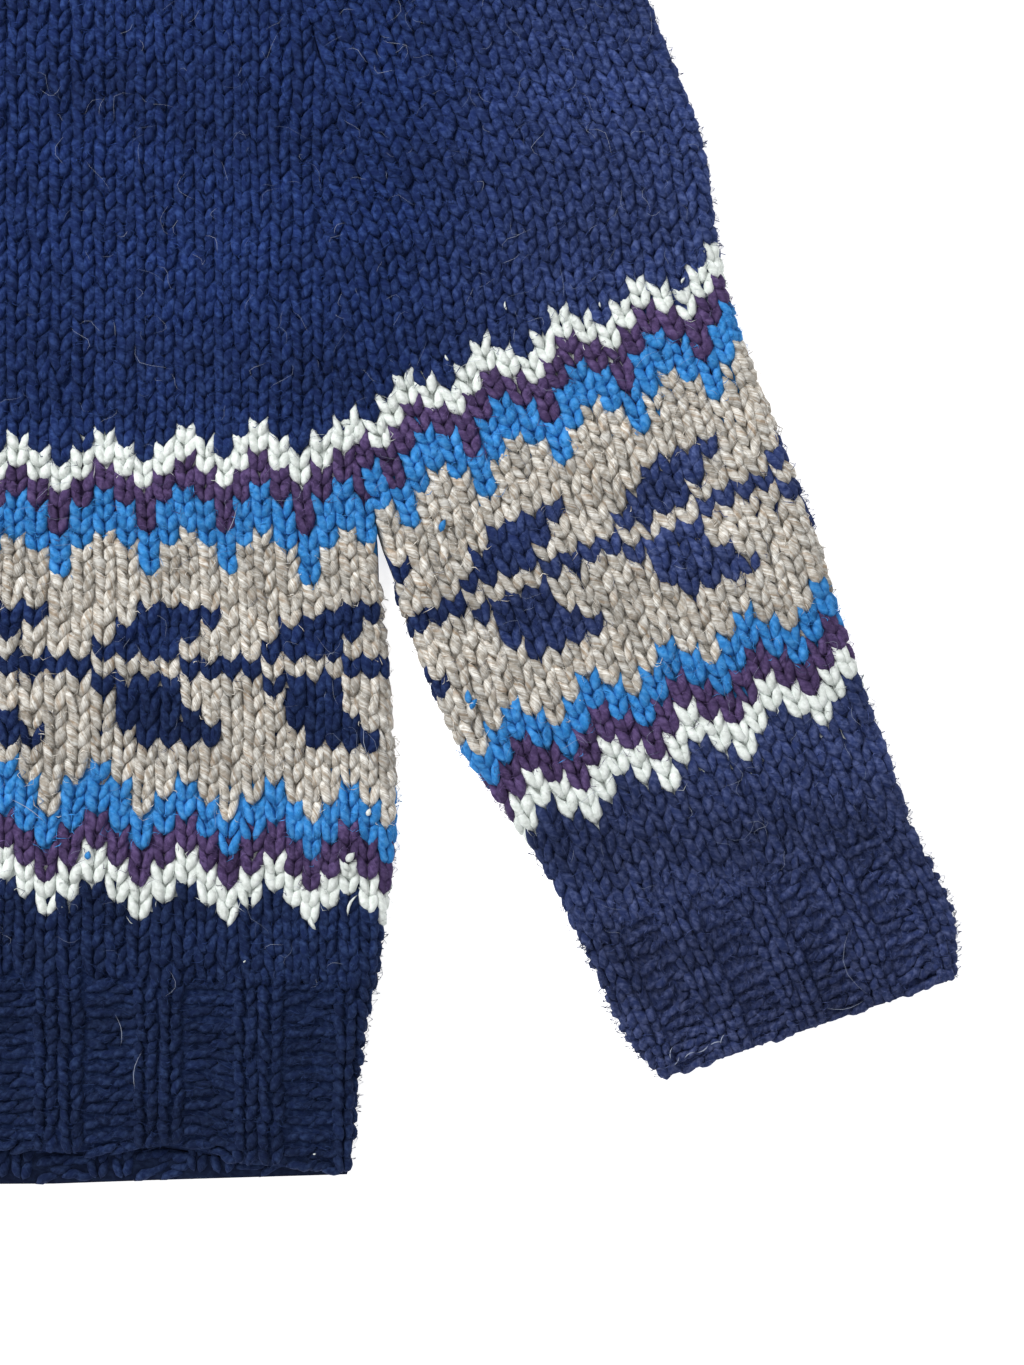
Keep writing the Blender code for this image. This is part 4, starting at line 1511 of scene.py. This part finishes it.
@dataclass
class Body(Knitwear):
    """The front and back panels: their walls, and the front's stitches."""

    form: FrontForm = field(default_factory=FrontForm)
    view_left: float = 116.0
    view_top: float = 428.0
    outer_column: int = 16
    columns_across: int = 70
    rows_up: int = 112
    straight_to: float = 540.0
    last_rib: int = 7
    back_dip: float = 4.6
    band_shift: float = 3.0

    def plan(self, column: Array, row: Array) -> Pair:
        """Where a column and a row cross, along the cloth: mirrored about the middle column.

        Each column's x is weighed between its lines at four heights, and each row's y is its height plus a
        slant. A bell curve makes the rows sag beside the arm, and sine waves make them wander.

        Args:
            column: Column numbers.
            row: Row numbers.

        Returns:
            x and y in garment millimetres.
        """
        right = column < MIDDLE_COLUMN
        number = np.where(right, 2 * MIDDLE_COLUMN - column, column)
        height = row_height(row) - np.clip(row - ROW_NUMBERS[-1], 0, None) * ROW_PITCH_BELOW
        height = height + np.clip(ROW_NUMBERS[0] - row, 0, None) * ROW_PITCH_ABOVE
        x = np.clip(number - COLUMN_NUMBERS[-1], 0, None) * OUTER_COLUMN_PITCH
        for place, line in enumerate(column_lines):
            weight = np.interp(height, COLUMN_HEIGHTS, np.eye(len(COLUMN_HEIGHTS))[place])
            x = x + weight * line(number)
        slant = np.interp(row, (ROWS_LEVEL_OUT, 0, BAND_FOOT_ROW), (0.0, ROWS_RISE, ROWS_FALL))
        y = height + slant * np.clip(number - ROWS_RISE_FROM_COLUMN, 0, None)
        off = ((number - SAG_COLUMN) / SAG_SPREAD[0]) ** 2 + ((height - SAG_HEIGHT) / SAG_SPREAD[1]) ** 2
        y = y - SAG * np.exp(-off)
        y = y + ROW_WANDER * np.sin(number / 2.9 + height / 31) * np.sin(height / 11.3)
        sway = np.sin(height / 8.7 + number / 3.1) * np.sin(number / 1.9)
        x = x + COLUMN_WANDER * sway * (number > MIDDLE_COLUMN)
        return np.where(right, -x, x), y

    def knit_surface(self, column: Array, row: Array) -> Pair:
        """The front's surface at stitch places."""
        return self.form.surface(*self.plan(column, row))

    def rib_surface(self, column: Array, row: Array) -> Pair:
        """The hem's surface: columns are quarters of a rib pitch, rows count down to the hem's edge."""
        x = column * HEM_RIB_PITCH / 4
        return self.form.surface(x, mixed(HEM_STITCHES_TOP, front_hem(np.abs(x)), row / HEM_RIB_ROWS))

    def strip_surface(self, column: Array, row: Array) -> Pair:
        """The back's inner face just above its hem.

        Args:
            column: Quarters of a rib pitch.
            row: Row numbers, whose negatives count up.

        Returns:
            Points and unit normals, in garment millimetres.
        """
        x = column * HEM_RIB_PITCH / 4
        y = back_hem(np.abs(x)) + STRIP_RISE - row * STRIP_ROW_PITCH
        points = spatial(x, y, np.full_like(x, BACK_TOP + STRIP_LIFT))
        return points, np.broadcast_to(np.array([0.0, 0.0, 1.0]), points.shape)

    def knit(self) -> list[Object]:
        """Every stitch of the front.

        Returns:
            The pieces.
        """
        group = KnitGroup("front", self.rng)
        across = np.arange(2 * MIDDLE_COLUMN - self.outer_column, self.outer_column + 1)
        columns, rows = every_pair(across, np.arange(FIRST_BODY_ROW, LAST_BODY_ROW + 1))
        x, y = self.plan(columns.astype(float), rows.astype(float))
        reach = half_width(y) + by_gap(y, *BODY_MARGINS)
        keep = (np.abs(x) < reach) & (y + NECK_MARGIN < top_edge(x, FRONT_NECK_DROP))
        late = (columns > LATE_BODY_COLUMNS[0]) & (columns < LATE_BODY_COLUMNS[1])
        in_view = x > self.view_left
        masks = ((y <= self.view_top) & in_view, (y <= self.view_top) & ~in_view, y > self.view_top)
        for zone, mask in zip(Zone, masks, strict=True):
            detail = Detail.FINE if zone is Zone.LEFT else Detail.PLAIN
            group.add_knitting(zone.value, keep & mask, (columns, rows), late, detail, self.knit_surface)
        self._add_rib(group)
        self._add_strip(group)
        return group.pieces(self.basket.strand)

    def _add_rib(self, group: KnitGroup) -> None:
        """Adds the hem: two knit and two purl columns in turn.

        Args:
            group: The stitches to add to.
        """
        stitches = rib_places(-self.last_rib, self.last_rib, np.arange(HEM_RIB_ROWS + 1.0))
        for (across, down), shape in zip(stitches, RIB_SHAPES, strict=True):
            x = across * HEM_RIB_PITCH / 4
            keep = np.abs(x) < half_width(HEM_RIB_TOP * (HEM_RIB_ROWS - down) / HEM_RIB_ROWS) + HEM_MARGIN
            in_view = x > self.view_left
            for zone, here, detail in (
                (Zone.LEFT, keep & in_view, Detail.FINE),
                (Zone.RIGHT, keep & ~in_view, Detail.PLAIN),
            ):
                places = across[here], down[here]
                group.add(zone.value, Yarn.NAVY, shape, places, detail, self.rib_surface)

    def _add_strip(self, group: KnitGroup) -> None:
        """Adds the back's inner face where it shows below the front's hem, its ribs the other way about.

        Args:
            group: The stitches to add to.
        """
        stitches = rib_places(-self.last_rib, self.last_rib, np.arange(0.0, 4.0))
        for (across, up), shape in zip(stitches[::-1], RIB_SHAPES, strict=True):
            keep = np.abs(across) * HEM_RIB_PITCH / 4 < half_width(8.0) - STRIP_END_MARGIN
            places = across[keep], -up[keep]
            group.add(Zone.LEFT.value, Yarn.NAVY, shape, places, Detail.FINE, self.strip_surface, nap=False)

    def grid(self, cells_across: int, hem: Callable[[Array], Array], drop: float) -> Pair:
        """A panel's grid in plan: each column keeps its share of the half width.

        The rows are level, but the lowest take up the hem's curve and the highest the top edge's shape.

        Args:
            cells_across: How many cells lie side by side.
            hem: The hem's height at a distance from the centre line.
            drop: How far the neckline drops.

        Returns:
            x and y, rows by columns.
        """
        share = np.linspace(-1, 1, cells_across + 1)
        level = np.linspace(0, SHOULDER_Y, self.rows_up + 1)[:, None]
        low = hem(np.abs(share) * half_width(0))[None] * (1 - soft_step(level, 0, HEM_RIB_TOP)) + level
        rise = np.clip((level - self.straight_to) / (SHOULDER_Y - self.straight_to), 0, 1)
        top = mixed(self.straight_to, top_edge(share * SHOULDER_HALF, drop)[None], rise)
        y = np.where(level > self.straight_to, top, low)
        return share[None] * (half_width(level) - mixed(BACKING_INSET, JOINED_INSET, joined(level))), y

    def front_wall(self) -> Object:
        """The front's cloth behind its stitches.

        Returns:
            The object.
        """
        x, y = self.grid(self.columns_across, front_hem, FRONT_NECK_DROP)
        full = self.form.full_height(x, y)
        round_off = quarter_round(half_width(y) - np.abs(x), FREE_ROUNDING)
        high = down_at_shoulder(x, y, mixed(full / 2, full, mixed(round_off, 1.0, joined(y))))
        outer = spatial(x, y, np.maximum(high - BACKING_DEPTH, FRONT_UNDER + THINNEST_BACKING))
        inner = spatial(x, y, np.full_like(x, FRONT_UNDER))[::4, ::5]
        # its navy is the copy with painted light
        return wall("front_cloth", outer, inner, self.cell_yarns(x, y), self.basket.behind, flip=False)

    def cell_yarns(self, x: Array, y: Array) -> Array:
        """The yarn of each cell of a grid, from the row that its height lies in.

        Args:
            x: The grid's places sideways, rows by columns.
            y: Its heights above the back's hem.

        Returns:
            Places in YARNS, one for each cell.
        """
        middle_x, middle_y = (part[:-1, :-1] / 2 + part[1:, 1:] / 2 for part in (x, y))
        rows = np.interp(middle_y, ROW_HEIGHTS[::-1], ROW_NUMBERS[::-1])
        pitch = COLUMN_X[0][-1] / (COLUMN_NUMBERS[-1] - MIDDLE_COLUMN)
        columns = np.round(MIDDLE_COLUMN + middle_x / pitch)
        return yarn_numbers(columns.astype(int), np.floor(rows + 1.0).astype(int), False)

    def back_wall(self) -> Object:
        """The back's cloth: flat where it rests, with the same band, shown by colour and bump.

        Returns:
            The object.
        """
        x, y = self.grid(2 * self.columns_across, back_hem, BACK_NECK_DROP)
        y[1:-1] = y[1:-1] - (np.arange(x.shape[1]) % 2)[None] * self.back_dip
        against = joined(y)
        rounding = mixed(FREE_ROUNDING, JOINED_ROUNDING, against)
        free = mixed(FREE_EDGE_UNDER, JOINED_EDGE_UNDER, against)
        high = free * (1 - quarter_round(half_width(y) - np.abs(x), rounding))
        at_hem = 1 - quarter_round(y - back_hem(np.abs(x)), HEM_ROUNDING)
        high = np.maximum(high, FREE_EDGE_UNDER * at_hem)
        inner = spatial(x, y, np.full_like(x, BACK_TOP))[::4, ::10]
        numbers = self.cell_yarns(x, y + self.band_shift)
        # its navy is the copy with painted shade
        return wall("back_cloth", spatial(x, y, high), inner, numbers, self.basket.cloth, flip=True)


@dataclass
class Sleeve(Knitwear):
    """A sleeve: its wall and its stitches."""

    name: str
    form: SleeveForm
    detail: Detail
    first_column: int = -8
    last_column: int = 18
    fine_length: float = 478.0
    top_cells: int = 24
    rows_up: int = 108
    last_rib: int = 3
    dip: float = 0.15

    def places(self, column: Array, row: Array) -> Pair:
        """The station and the distance along the cloth of a column and a row.

        Args:
            column: Column numbers.
            row: Row numbers.

        Returns:
            Stations, and distances from the inner edge.
        """
        length = np.interp(row, SLEEVE_ROW_NUMBERS, SLEEVE_ROW_LENGTHS)
        length = length - np.clip(row - SLEEVE_ROW_NUMBERS[-1], 0, None) * SLEEVE_ROW_PITCH
        length = length + np.clip(SLEEVE_ROW_NUMBERS[0] - row, 0, None) * SLEEVE_ROW_PITCH
        station = self.form.station_at(length) + SLEEVE_TILT * (column - SLEEVE_LEVEL_COLUMN)
        station = np.clip(station, 0, LAST_STATION)
        edge_column = np.interp(row, EDGE_COLUMN_ROWS, OUTER_EDGE_COLUMNS)
        return station, self.form.width(station) - (edge_column - column) * SLEEVE_STITCH

    def knit_surface(self, column: Array, row: Array) -> Pair:
        """The sleeve's surface at stitch places."""
        return self.form.surface(*self.places(column, row))

    def rib_surface(self, column: Array, row: Array) -> Pair:
        """The cuff's surface: columns are quarters of a rib pitch from its middle, rows count down."""
        station = np.maximum(CUFF_STITCHES_STATION * (CUFF_RIB_ROWS - row) / CUFF_RIB_ROWS, 0)
        return self.form.surface(station, self.form.width(station) / 2 + column * CUFF_RIB_PITCH / 4)

    def knit(self) -> list[Object]:
        """Every stitch of the sleeve's top layer and folds.

        Returns:
            The pieces.
        """
        group = KnitGroup(self.name, self.rng)
        across = np.arange(self.first_column, self.last_column + 1)
        columns, rows = every_pair(across, np.arange(FIRST_SLEEVE_ROW, LAST_SLEEVE_ROW + 1))
        station, distance = self.places(columns.astype(float), rows.astype(float))
        starts = by_gap(self.form.edges(station)[0][:, 1], *SLEEVE_MARGINS)
        keep = (distance > starts) & (station < LAST_STATION - SHOULDER_STATION_MARGIN)
        keep &= station > CUFF_RIB_STATION - CUFF_STATION_MARGIN
        lower = station < self.form.station_at(np.array(self.fine_length))
        for zone, mask, detail in (("lower", lower, self.detail), ("upper", ~lower, Detail.PLAIN)):
            group.add_knitting(zone, keep & mask, (columns, rows), True, detail, self.knit_surface)
        self._add_rib(group)
        return group.pieces(self.basket.strand)

    def _add_rib(self, group: KnitGroup) -> None:
        """Adds the cuff: two knit and two purl columns in turn.

        Args:
            group: The stitches to add to.
        """
        stitches = rib_places(-self.last_rib, self.last_rib, np.arange(CUFF_RIB_ROWS + 1.0))
        for (across, down), shape in zip(stitches, RIB_SHAPES, strict=True):
            width = self.form.width(CUFF_RIB_STATION * (CUFF_RIB_ROWS - down) / CUFF_RIB_ROWS)
            keep = np.abs(across) * CUFF_RIB_PITCH / 4 < width / 2 + CUFF_MARGIN
            group.add("lower", Yarn.NAVY, shape, (across[keep], down[keep]), self.detail, self.rib_surface)

    def wall(self) -> Object:
        """The sleeve's cloth: the under layer, the fold and the top layer, cut open at the underarm.

        A row of its grid runs from the cut along the under layer, round the fold as half an ellipse and
        back along the top layer. Every other column dips down the sleeve, as the legs of stitches do.

        Returns:
            The object.
        """
        station = np.linspace(0, LAST_STATION, self.rows_up + 1)[:, None]
        inner, outer = self.form.edges(station)
        width = np.linalg.norm(outer - inner, axis=-1)
        along = (outer - inner) / width[..., None]
        against = joined(inner[..., 1])
        flat = width - FOLD_RADIUS
        share = np.linspace(0, 1, 2 * self.top_cells + 1)[None]
        inset = mixed(BACKING_INSET, JOINED_INSET, against)
        across = inset + (flat - inset) * share
        dip = (np.arange(share.shape[1]) % 2)[None] * self.dip * ((station > 0) & (station < LAST_STATION))
        full = self.form.full_height(station + 0 * across, across, inner + along * across[..., None])
        rounding = quarter_round(across, mixed(FREE_ROUNDING, JOINED_ROUNDING, against))
        top = mixed(mixed(full / 2, JOINED_EDGE_TOP, against), full, rounding)
        top = np.maximum(top - BACKING_DEPTH, FRONT_UNDER + THINNEST_BACKING)
        under = mixed(FREE_EDGE_UNDER, JOINED_EDGE_UNDER, against) * (1 - rounding)
        turn = np.linspace(-math.pi / 2, math.pi / 2, 9)[1:-1][None]
        fold_out = flat + (FOLD_RADIUS - BACKING_INSET) * np.cos(turn)
        fold_top = top[:, -1:]
        places = np.concatenate([across, fold_out, across[:, ::-1]], 1)
        highs = np.concatenate([under, fold_top / 2 * (1 + np.sin(turn)), top[:, ::-1]], 1)
        dips = np.concatenate([dip, 0 * fold_out, dip[:, ::-1]], 1)
        moved, far = self.form.edges(np.clip(station - dips, 0, LAST_STATION))
        skin = np.concatenate([moved + unit(far - moved) * places[..., None], highs[..., None]], -1)
        in_places = BACKING_INSET + (flat - BACKING_INSET) * np.linspace(0, 1, 9)[None]
        in_places = np.concatenate([in_places, flat + FOLD_RADIUS - WALL, in_places[:, ::-1]], 1)
        ceiling = np.maximum(FRONT_UNDER, fold_top - WALL / 2)
        bottom, lid = np.full((len(station), 9), BACK_TOP), np.full((len(station), 1), FRONT_UNDER)
        in_highs = np.concatenate([bottom, (BACK_TOP + ceiling) / 2, np.repeat(ceiling, 8, 1), lid], 1)
        lining = np.concatenate([inner + along * in_places[..., None], in_highs[..., None]], -1)
        skin, lining = self.form.mirrored(skin), self.form.mirrored(lining)[::3]
        numbers, flip = self.cell_yarns(station, places), self.form.side > 0
        # its navy is the copy with painted light
        return wall(f"{self.name}_cloth", skin, lining, numbers, self.basket.behind, flip)

    def cell_yarns(self, station: Array, places: Array) -> Array:
        """The yarn of each cell of the wall's outer face.

        Args:
            station: The station of each row of the grid.
            places: The distance of each grid point from the inner edge.

        Returns:
            Places in YARNS, one for each cell.
        """
        length = np.interp((station[:-1] + station[1:]) / 2, FINE_STATIONS, self.form.lengths())
        rows = np.interp(length, SLEEVE_ROW_LENGTHS[::-1], SLEEVE_ROW_NUMBERS[::-1])
        middle = (places[:-1, :-1] + places[:-1, 1:]) / 2
        columns = np.round(OUTER_EDGE_COLUMNS[0] - (self.form.width(station[:-1]) - middle) / SLEEVE_STITCH)
        return yarn_numbers(columns.astype(int), np.floor(rows + 1.0 + 0 * columns).astype(int), True)


@dataclass
class Neckband(Knitwear):
    """The ribbed neckband: its wall and the stitches of its front half."""

    form: NeckbandForm = field(default_factory=NeckbandForm)
    end_margin: float = 0.4
    cells_round_half: int = 120
    cells_up: int = 8

    def rib_surface(self, column: Array, row: Array) -> Pair:
        """The band's surface: columns are quarters of a rib, rows count down from the rim."""
        angle = np.clip(math.pi * column / (4 * self.form.ribs()), 0, math.pi)
        return self.form.surface(angle, np.clip(1 - row / NECKBAND_ROWS, 0, 1))

    def knit(self) -> list[Object]:
        """The ribs of the front half.

        Returns:
            The pieces.
        """
        group = KnitGroup("neckband", self.rng)
        stitches = rib_places(0, self.form.ribs(), np.arange(1.0, NECKBAND_ROWS + 1))
        for (across, down), shape in zip(stitches, NECK_SHAPES, strict=True):
            keep = (across > self.end_margin) & (across < 4 * self.form.ribs() - self.end_margin)
            places = across[keep], down[keep]
            group.add("front", Yarn.NAVY, shape, places, Detail.PLAIN, self.rib_surface, nap=False)
        return group.pieces(self.basket.strand)

    def wall(self) -> Object:
        """The band's cloth, all round: the front half's outer face and the back half's under face.

        Returns:
            The object.
        """
        level = np.linspace(0, 1, self.cells_up + 1)[:, None]
        angle = np.linspace(0, math.pi, self.cells_round_half + 1)[None]
        outer, lining = [], []
        for front, turned in ((True, angle), (False, math.pi - angle)):
            x, y, flat = self.form.ring(turned, level, front)
            crest = FRONT_TOP - LAYER_GAP / 2 + self.form.rise(turned) - NECK_BACKING_DEPTH
            face = crest if front else BACK_EDGE_UNDER * self.form.rounded(level)
            pull = 1 - WALL * (1 - flat) / mixed(NECK_HALF, RIM_HALF, level)
            outer.append(spatial(x, y, mixed(SIDE_FOLD_HEIGHT, face, flat)))
            inside = FRONT_UNDER if front else BACK_TOP
            lining.append(spatial(x * pull, y, mixed(SIDE_FOLD_HEIGHT, inside, flat)))
        outer, lining = (np.concatenate([halves[0], halves[1][:, 1:]], 1) for halves in (outer, lining))
        numbers = np.zeros((outer.shape[0] - 1) * (outer.shape[1] - 1), int)
        lining = lining[:, ::2]
        # its navy is the copy with painted shade
        return wall("neckband_cloth", outer, lining, numbers, self.basket.cloth, flip=True, ring=True)


@dataclass
class StrayHairs(Knitwear):
    """The fine pale hairs that stand out of the wool all over."""

    body: Body
    sleeves: tuple[Sleeve, ...]
    on_front: int = 1300
    on_sleeve: int = 600

    def make(self) -> Object:
        """Makes all the hairs as one piece.

        Returns:
            The object.
        """
        maker = MeshMaker()
        columns = self.rng.uniform(2 * MIDDLE_COLUMN - 13, 13, self.on_front)
        rows = self.rng.uniform(-62, 33, self.on_front)
        x, y = self.body.plan(columns, rows)
        keep = (np.abs(x) < half_width(y) - 3) & (y + 6 < top_edge(x, FRONT_NECK_DROP))
        hairs = GUARD_HAIR.strands(columns[keep], rows[keep], self.rng)
        maker.add_strands(hairs, self.body.knit_surface, Detail.HAIR)
        for sleeve in self.sleeves:
            columns = self.rng.uniform(-5, 16, self.on_sleeve)
            rows = self.rng.uniform(-58, 35, self.on_sleeve)
            keep = sleeve.places(columns, rows)[1] > 3
            hairs = GUARD_HAIR.strands(columns[keep], rows[keep], self.rng)
            maker.add_strands(hairs, sleeve.knit_surface, Detail.HAIR)
        return dress(maker.build("stray_hairs", [self.basket.hair]), Yarn.NAVY.slot)


@dataclass(frozen=True)
class Mark:
    """A short end of yarn that shows on the front: where it lies in the photograph's pixels, and its form.

    Args:
        across: Its middle, in pixels from the left.
        down: Its middle, in pixels from the top.
        length: Its length.
        turn: Its direction, in degrees from level.
        radius: Its greatest radius.
        bend: How far its middle lies off the straight line.
        yarn: Its yarn, or nothing for a pale hair.
    """

    across: float
    down: float
    length: float
    turn: float
    radius: float
    bend: float
    yarn: Yarn | None = None

    def strand(self, tone: float, detail: Detail) -> Strands:
        """Its path in plan: a straight line bent by a sine, a little raised in its middle.

        Args:
            tone: Its tone.
            detail: How many rings it has.

        Returns:
            The one strand.
        """
        x, y = photo_place(self.across, self.down)
        t = detail.steps
        along, off = self.length * (t - 0.5), self.bend * np.sin(math.pi * t)
        turn = math.radians(self.turn)
        across = x + along * math.cos(turn) - off * math.sin(turn)
        up = y + along * math.sin(turn) + off * math.cos(turn)
        lift = 0.9 + 0.5 * np.sin(math.pi * t)
        return Strands(across[None], up[None], lift[None], np.array([self.radius]), np.array([tone]))


MARKS = (
    Mark(351, 857, 4.6, 50, 1.3, 0.2, Yarn.CREAM),
    Mark(347, 866, 3.6, 120, 1.1, 0.2, Yarn.CREAM),
    Mark(369, 812, 3.0, 70, 0.9, 0.0, Yarn.CREAM),
    Mark(353, 905, 8.5, 65, 0.5, 1.2, Yarn.CREAM),
    Mark(314, 923, 5.0, 110, 0.7, 0.6, Yarn.CREAM),
    Mark(506, 306, 3.4, 100, 0.38, 0.4, Yarn.CREAM),
    Mark(447, 358, 2.6, 120, 0.42, 0.3, Yarn.CREAM),
    Mark(600, 305, 2.2, 100, 0.32, 0.2, Yarn.CREAM),
    Mark(683, 281, 2.6, 60, 0.42, 0.3, Yarn.CREAM),
    Mark(315, 1153, 1.2, 10, 0.3, 0.0, Yarn.CREAM),
    Mark(245, 961, 1.2, 40, 0.3, 0.0, Yarn.CREAM),
    Mark(443, 526, 5.0, 70, 1.1, 0.2, Yarn.BLUE),
    Mark(469, 697, 5.4, 100, 1.2, 0.3, Yarn.BLUE),
    Mark(474, 704, 4.6, 60, 1.0, 0.3, Yarn.BLUE),
    Mark(89, 855, 3.2, 80, 1.1, 0.1, Yarn.BLUE),
    Mark(860, 962, 26.0, -72, 0.10, -6.0),
    Mark(845, 1003, 15.0, 12, 0.10, -2.0),
    # painted highlights: these six short pale hairs at the cuff's corner stand for the glints there
    Mark(672, 1052, 5.0, 80, 0.22, 0.8),
    Mark(676, 1060, 4.0, 60, 0.20, -0.6),
    Mark(690, 1055, 5.0, 30, 0.20, 0.8),
    Mark(703, 1047, 6.0, 40, 0.22, -0.9),
    Mark(716, 1043, 5.0, 15, 0.20, 0.7),
    Mark(722, 1038, 4.0, 70, 0.18, 0.4),
    Mark(140, 1070, 15.0, 80, 0.12, 1.8),
    Mark(118, 1030, 12.0, 100, 0.10, -1.5),
    Mark(372, 745, 18.0, 105, 0.12, 2.6),
    Mark(30, 812, 17.0, -35, 0.14, 1.0),
    Mark(232, 520, 12.0, 70, 0.12, -0.8),
)


@dataclass
class Marks:
    """The ends of yarn and the few long hairs that can be told apart in the photograph, and short pale
    hairs that paint the glints at the cuff's corner.
    """

    basket: YarnBasket
    body: Body
    sleeve: Sleeve

    def make(self) -> None:
        """Makes one piece for each yarn, and one for the hairs."""
        makers: dict[Yarn | None, MeshMaker] = {}
        for number, mark in enumerate(MARKS):
            x, y = photo_place(mark.across, mark.down)
            on_body = abs(x) < float(half_width(y))
            surface = self.body.form.surface if on_body else self.sleeve.form.surface_at
            detail = Detail.FINE if mark.yarn else Detail.HAIR
            strand = mark.strand(number / len(MARKS), detail)
            makers.setdefault(mark.yarn, MeshMaker()).add_strands(strand, surface, detail)
        for yarn, maker in makers.items():
            material = self.basket.strand[yarn] if yarn else self.basket.hair
            piece = maker.build(f"marks_{yarn.name.lower() if yarn else 'hair'}", [material])
            dress(piece, (yarn or Yarn.NAVY).slot)


def declare_sheets(stitches: dict[str, list[Object]]) -> None:
    """Hides each panel's part of the model; each panel's cut, in metres, and its area are listed, and what
    lies on it is looked up, but neither is used.

    Args:
        stitches: The pieces that lie on each.
    """
    cuts = {
        "front": ((0.524, 0.655), 0.302),
        "back": ((0.524, 0.668), 0.320),
        "sleeve_left": ((0.295, 0.625), 0.138),
        "sleeve_right": ((0.295, 0.625), 0.138),
        "neckband": ((0.470, 0.030), 0.0125),
    }
    for node, (flat, area) in cuts.items():
        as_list(stitches.get(node, []))
        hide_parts(node)


def make_floor() -> None:
    """A plain white floor, which isn't part of the garment."""
    bpy.ops.mesh.primitive_plane_add(size=12, location=(0, 0, -0.0005))
    floor = bpy.context.object
    floor.name = "floor"
    nodes = Nodes("floor")
    nodes.set(nodes.shader, {"Base Color": (0.9, 0.9, 0.9, 1), "Roughness": 1.0, "Specular IOR Level": 0.0})
    nodes.set(nodes.shader, {"Emission Color": (1, 1, 1, 1), "Emission Strength": 0.7})
    floor.data.materials.append(nodes.material)


def make_light() -> None:
    """A bright sky and one large soft lamp from the upper left."""
    world = bpy.data.worlds.new("studio")
    world.use_nodes = True
    background = world.node_tree.nodes["Background"]
    background.inputs[0].default_value = (1.0, 1.0, 1.0, 1)
    background.inputs[1].default_value = SKY_STRENGTH
    bpy.context.scene.world = world
    lamp = bpy.data.lights.new("soft_lamp", "AREA")
    lamp.size = 1.0
    lamp.energy = LAMP_WATTS
    holder = bpy.data.objects.new("soft_lamp", lamp)
    holder.location = LAMP_PLACE
    aim = np.array(LAMP_AIM) - np.array(holder.location)
    tilt = math.atan2(math.hypot(aim[0], aim[1]), -aim[2])
    holder.rotation_euler = (tilt, 0.0, math.atan2(aim[1], aim[0]) - math.pi / 2)
    bpy.context.scene.collection.objects.link(holder)
    bpy.context.scene.view_settings.view_transform = "Standard"


def make_camera() -> None:
    """A camera looking straight down, framed as the photograph is."""
    middle = photo_place(PHOTO_SIZE[0] / 2, PHOTO_SIZE[1] / 2)
    camera = bpy.data.cameras.new("camera")
    camera.sensor_fit = "VERTICAL"
    camera.sensor_height = SENSOR
    camera.lens = SENSOR * (CAMERA_ABOVE - CAMERA_AIMS_AT) / (PHOTO_SIZE[1] * MM_PER_PIXEL)
    holder = bpy.data.objects.new("camera", camera)
    holder.location = in_frame(np.array([*middle, CAMERA_ABOVE]))
    bpy.context.scene.collection.objects.link(holder)
    bpy.context.scene.camera = holder


def main() -> None:
    """Builds the pullover's looks around its frame."""
    logging.basicConfig(level=logging.INFO, format="%(message)s")
    for obj in list(bpy.data.objects):
        bpy.data.objects.remove(obj)
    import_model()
    basket, rng = YarnBasket(), np.random.default_rng(SEED)
    body, neckband = Body(basket, rng), Neckband(basket, rng)
    left = Sleeve(basket, rng, "sleeve_left", SleeveForm(1, LEFT_SLEEVE_FOLDS), Detail.FINE)
    right = Sleeve(basket, rng, "sleeve_right", SleeveForm(-1, RIGHT_SLEEVE_FOLDS), Detail.PLAIN)
    walls = {
        "front": body.front_wall(),
        "back": body.back_wall(),
        "sleeve_left": left.wall(),
        "sleeve_right": right.wall(),
        "neckband": neckband.wall(),
    }
    stitches = {
        "front": body.knit(),
        "sleeve_left": left.knit(),
        "sleeve_right": right.knit(),
        "neckband": neckband.knit(),
    }
    StrayHairs(basket, rng, body, (left, right)).make()
    Marks(basket, body, left).make()
    declare_sheets(stitches)
    make_floor()
    make_light()
    make_camera()


if __name__ == "__main__":
    main()
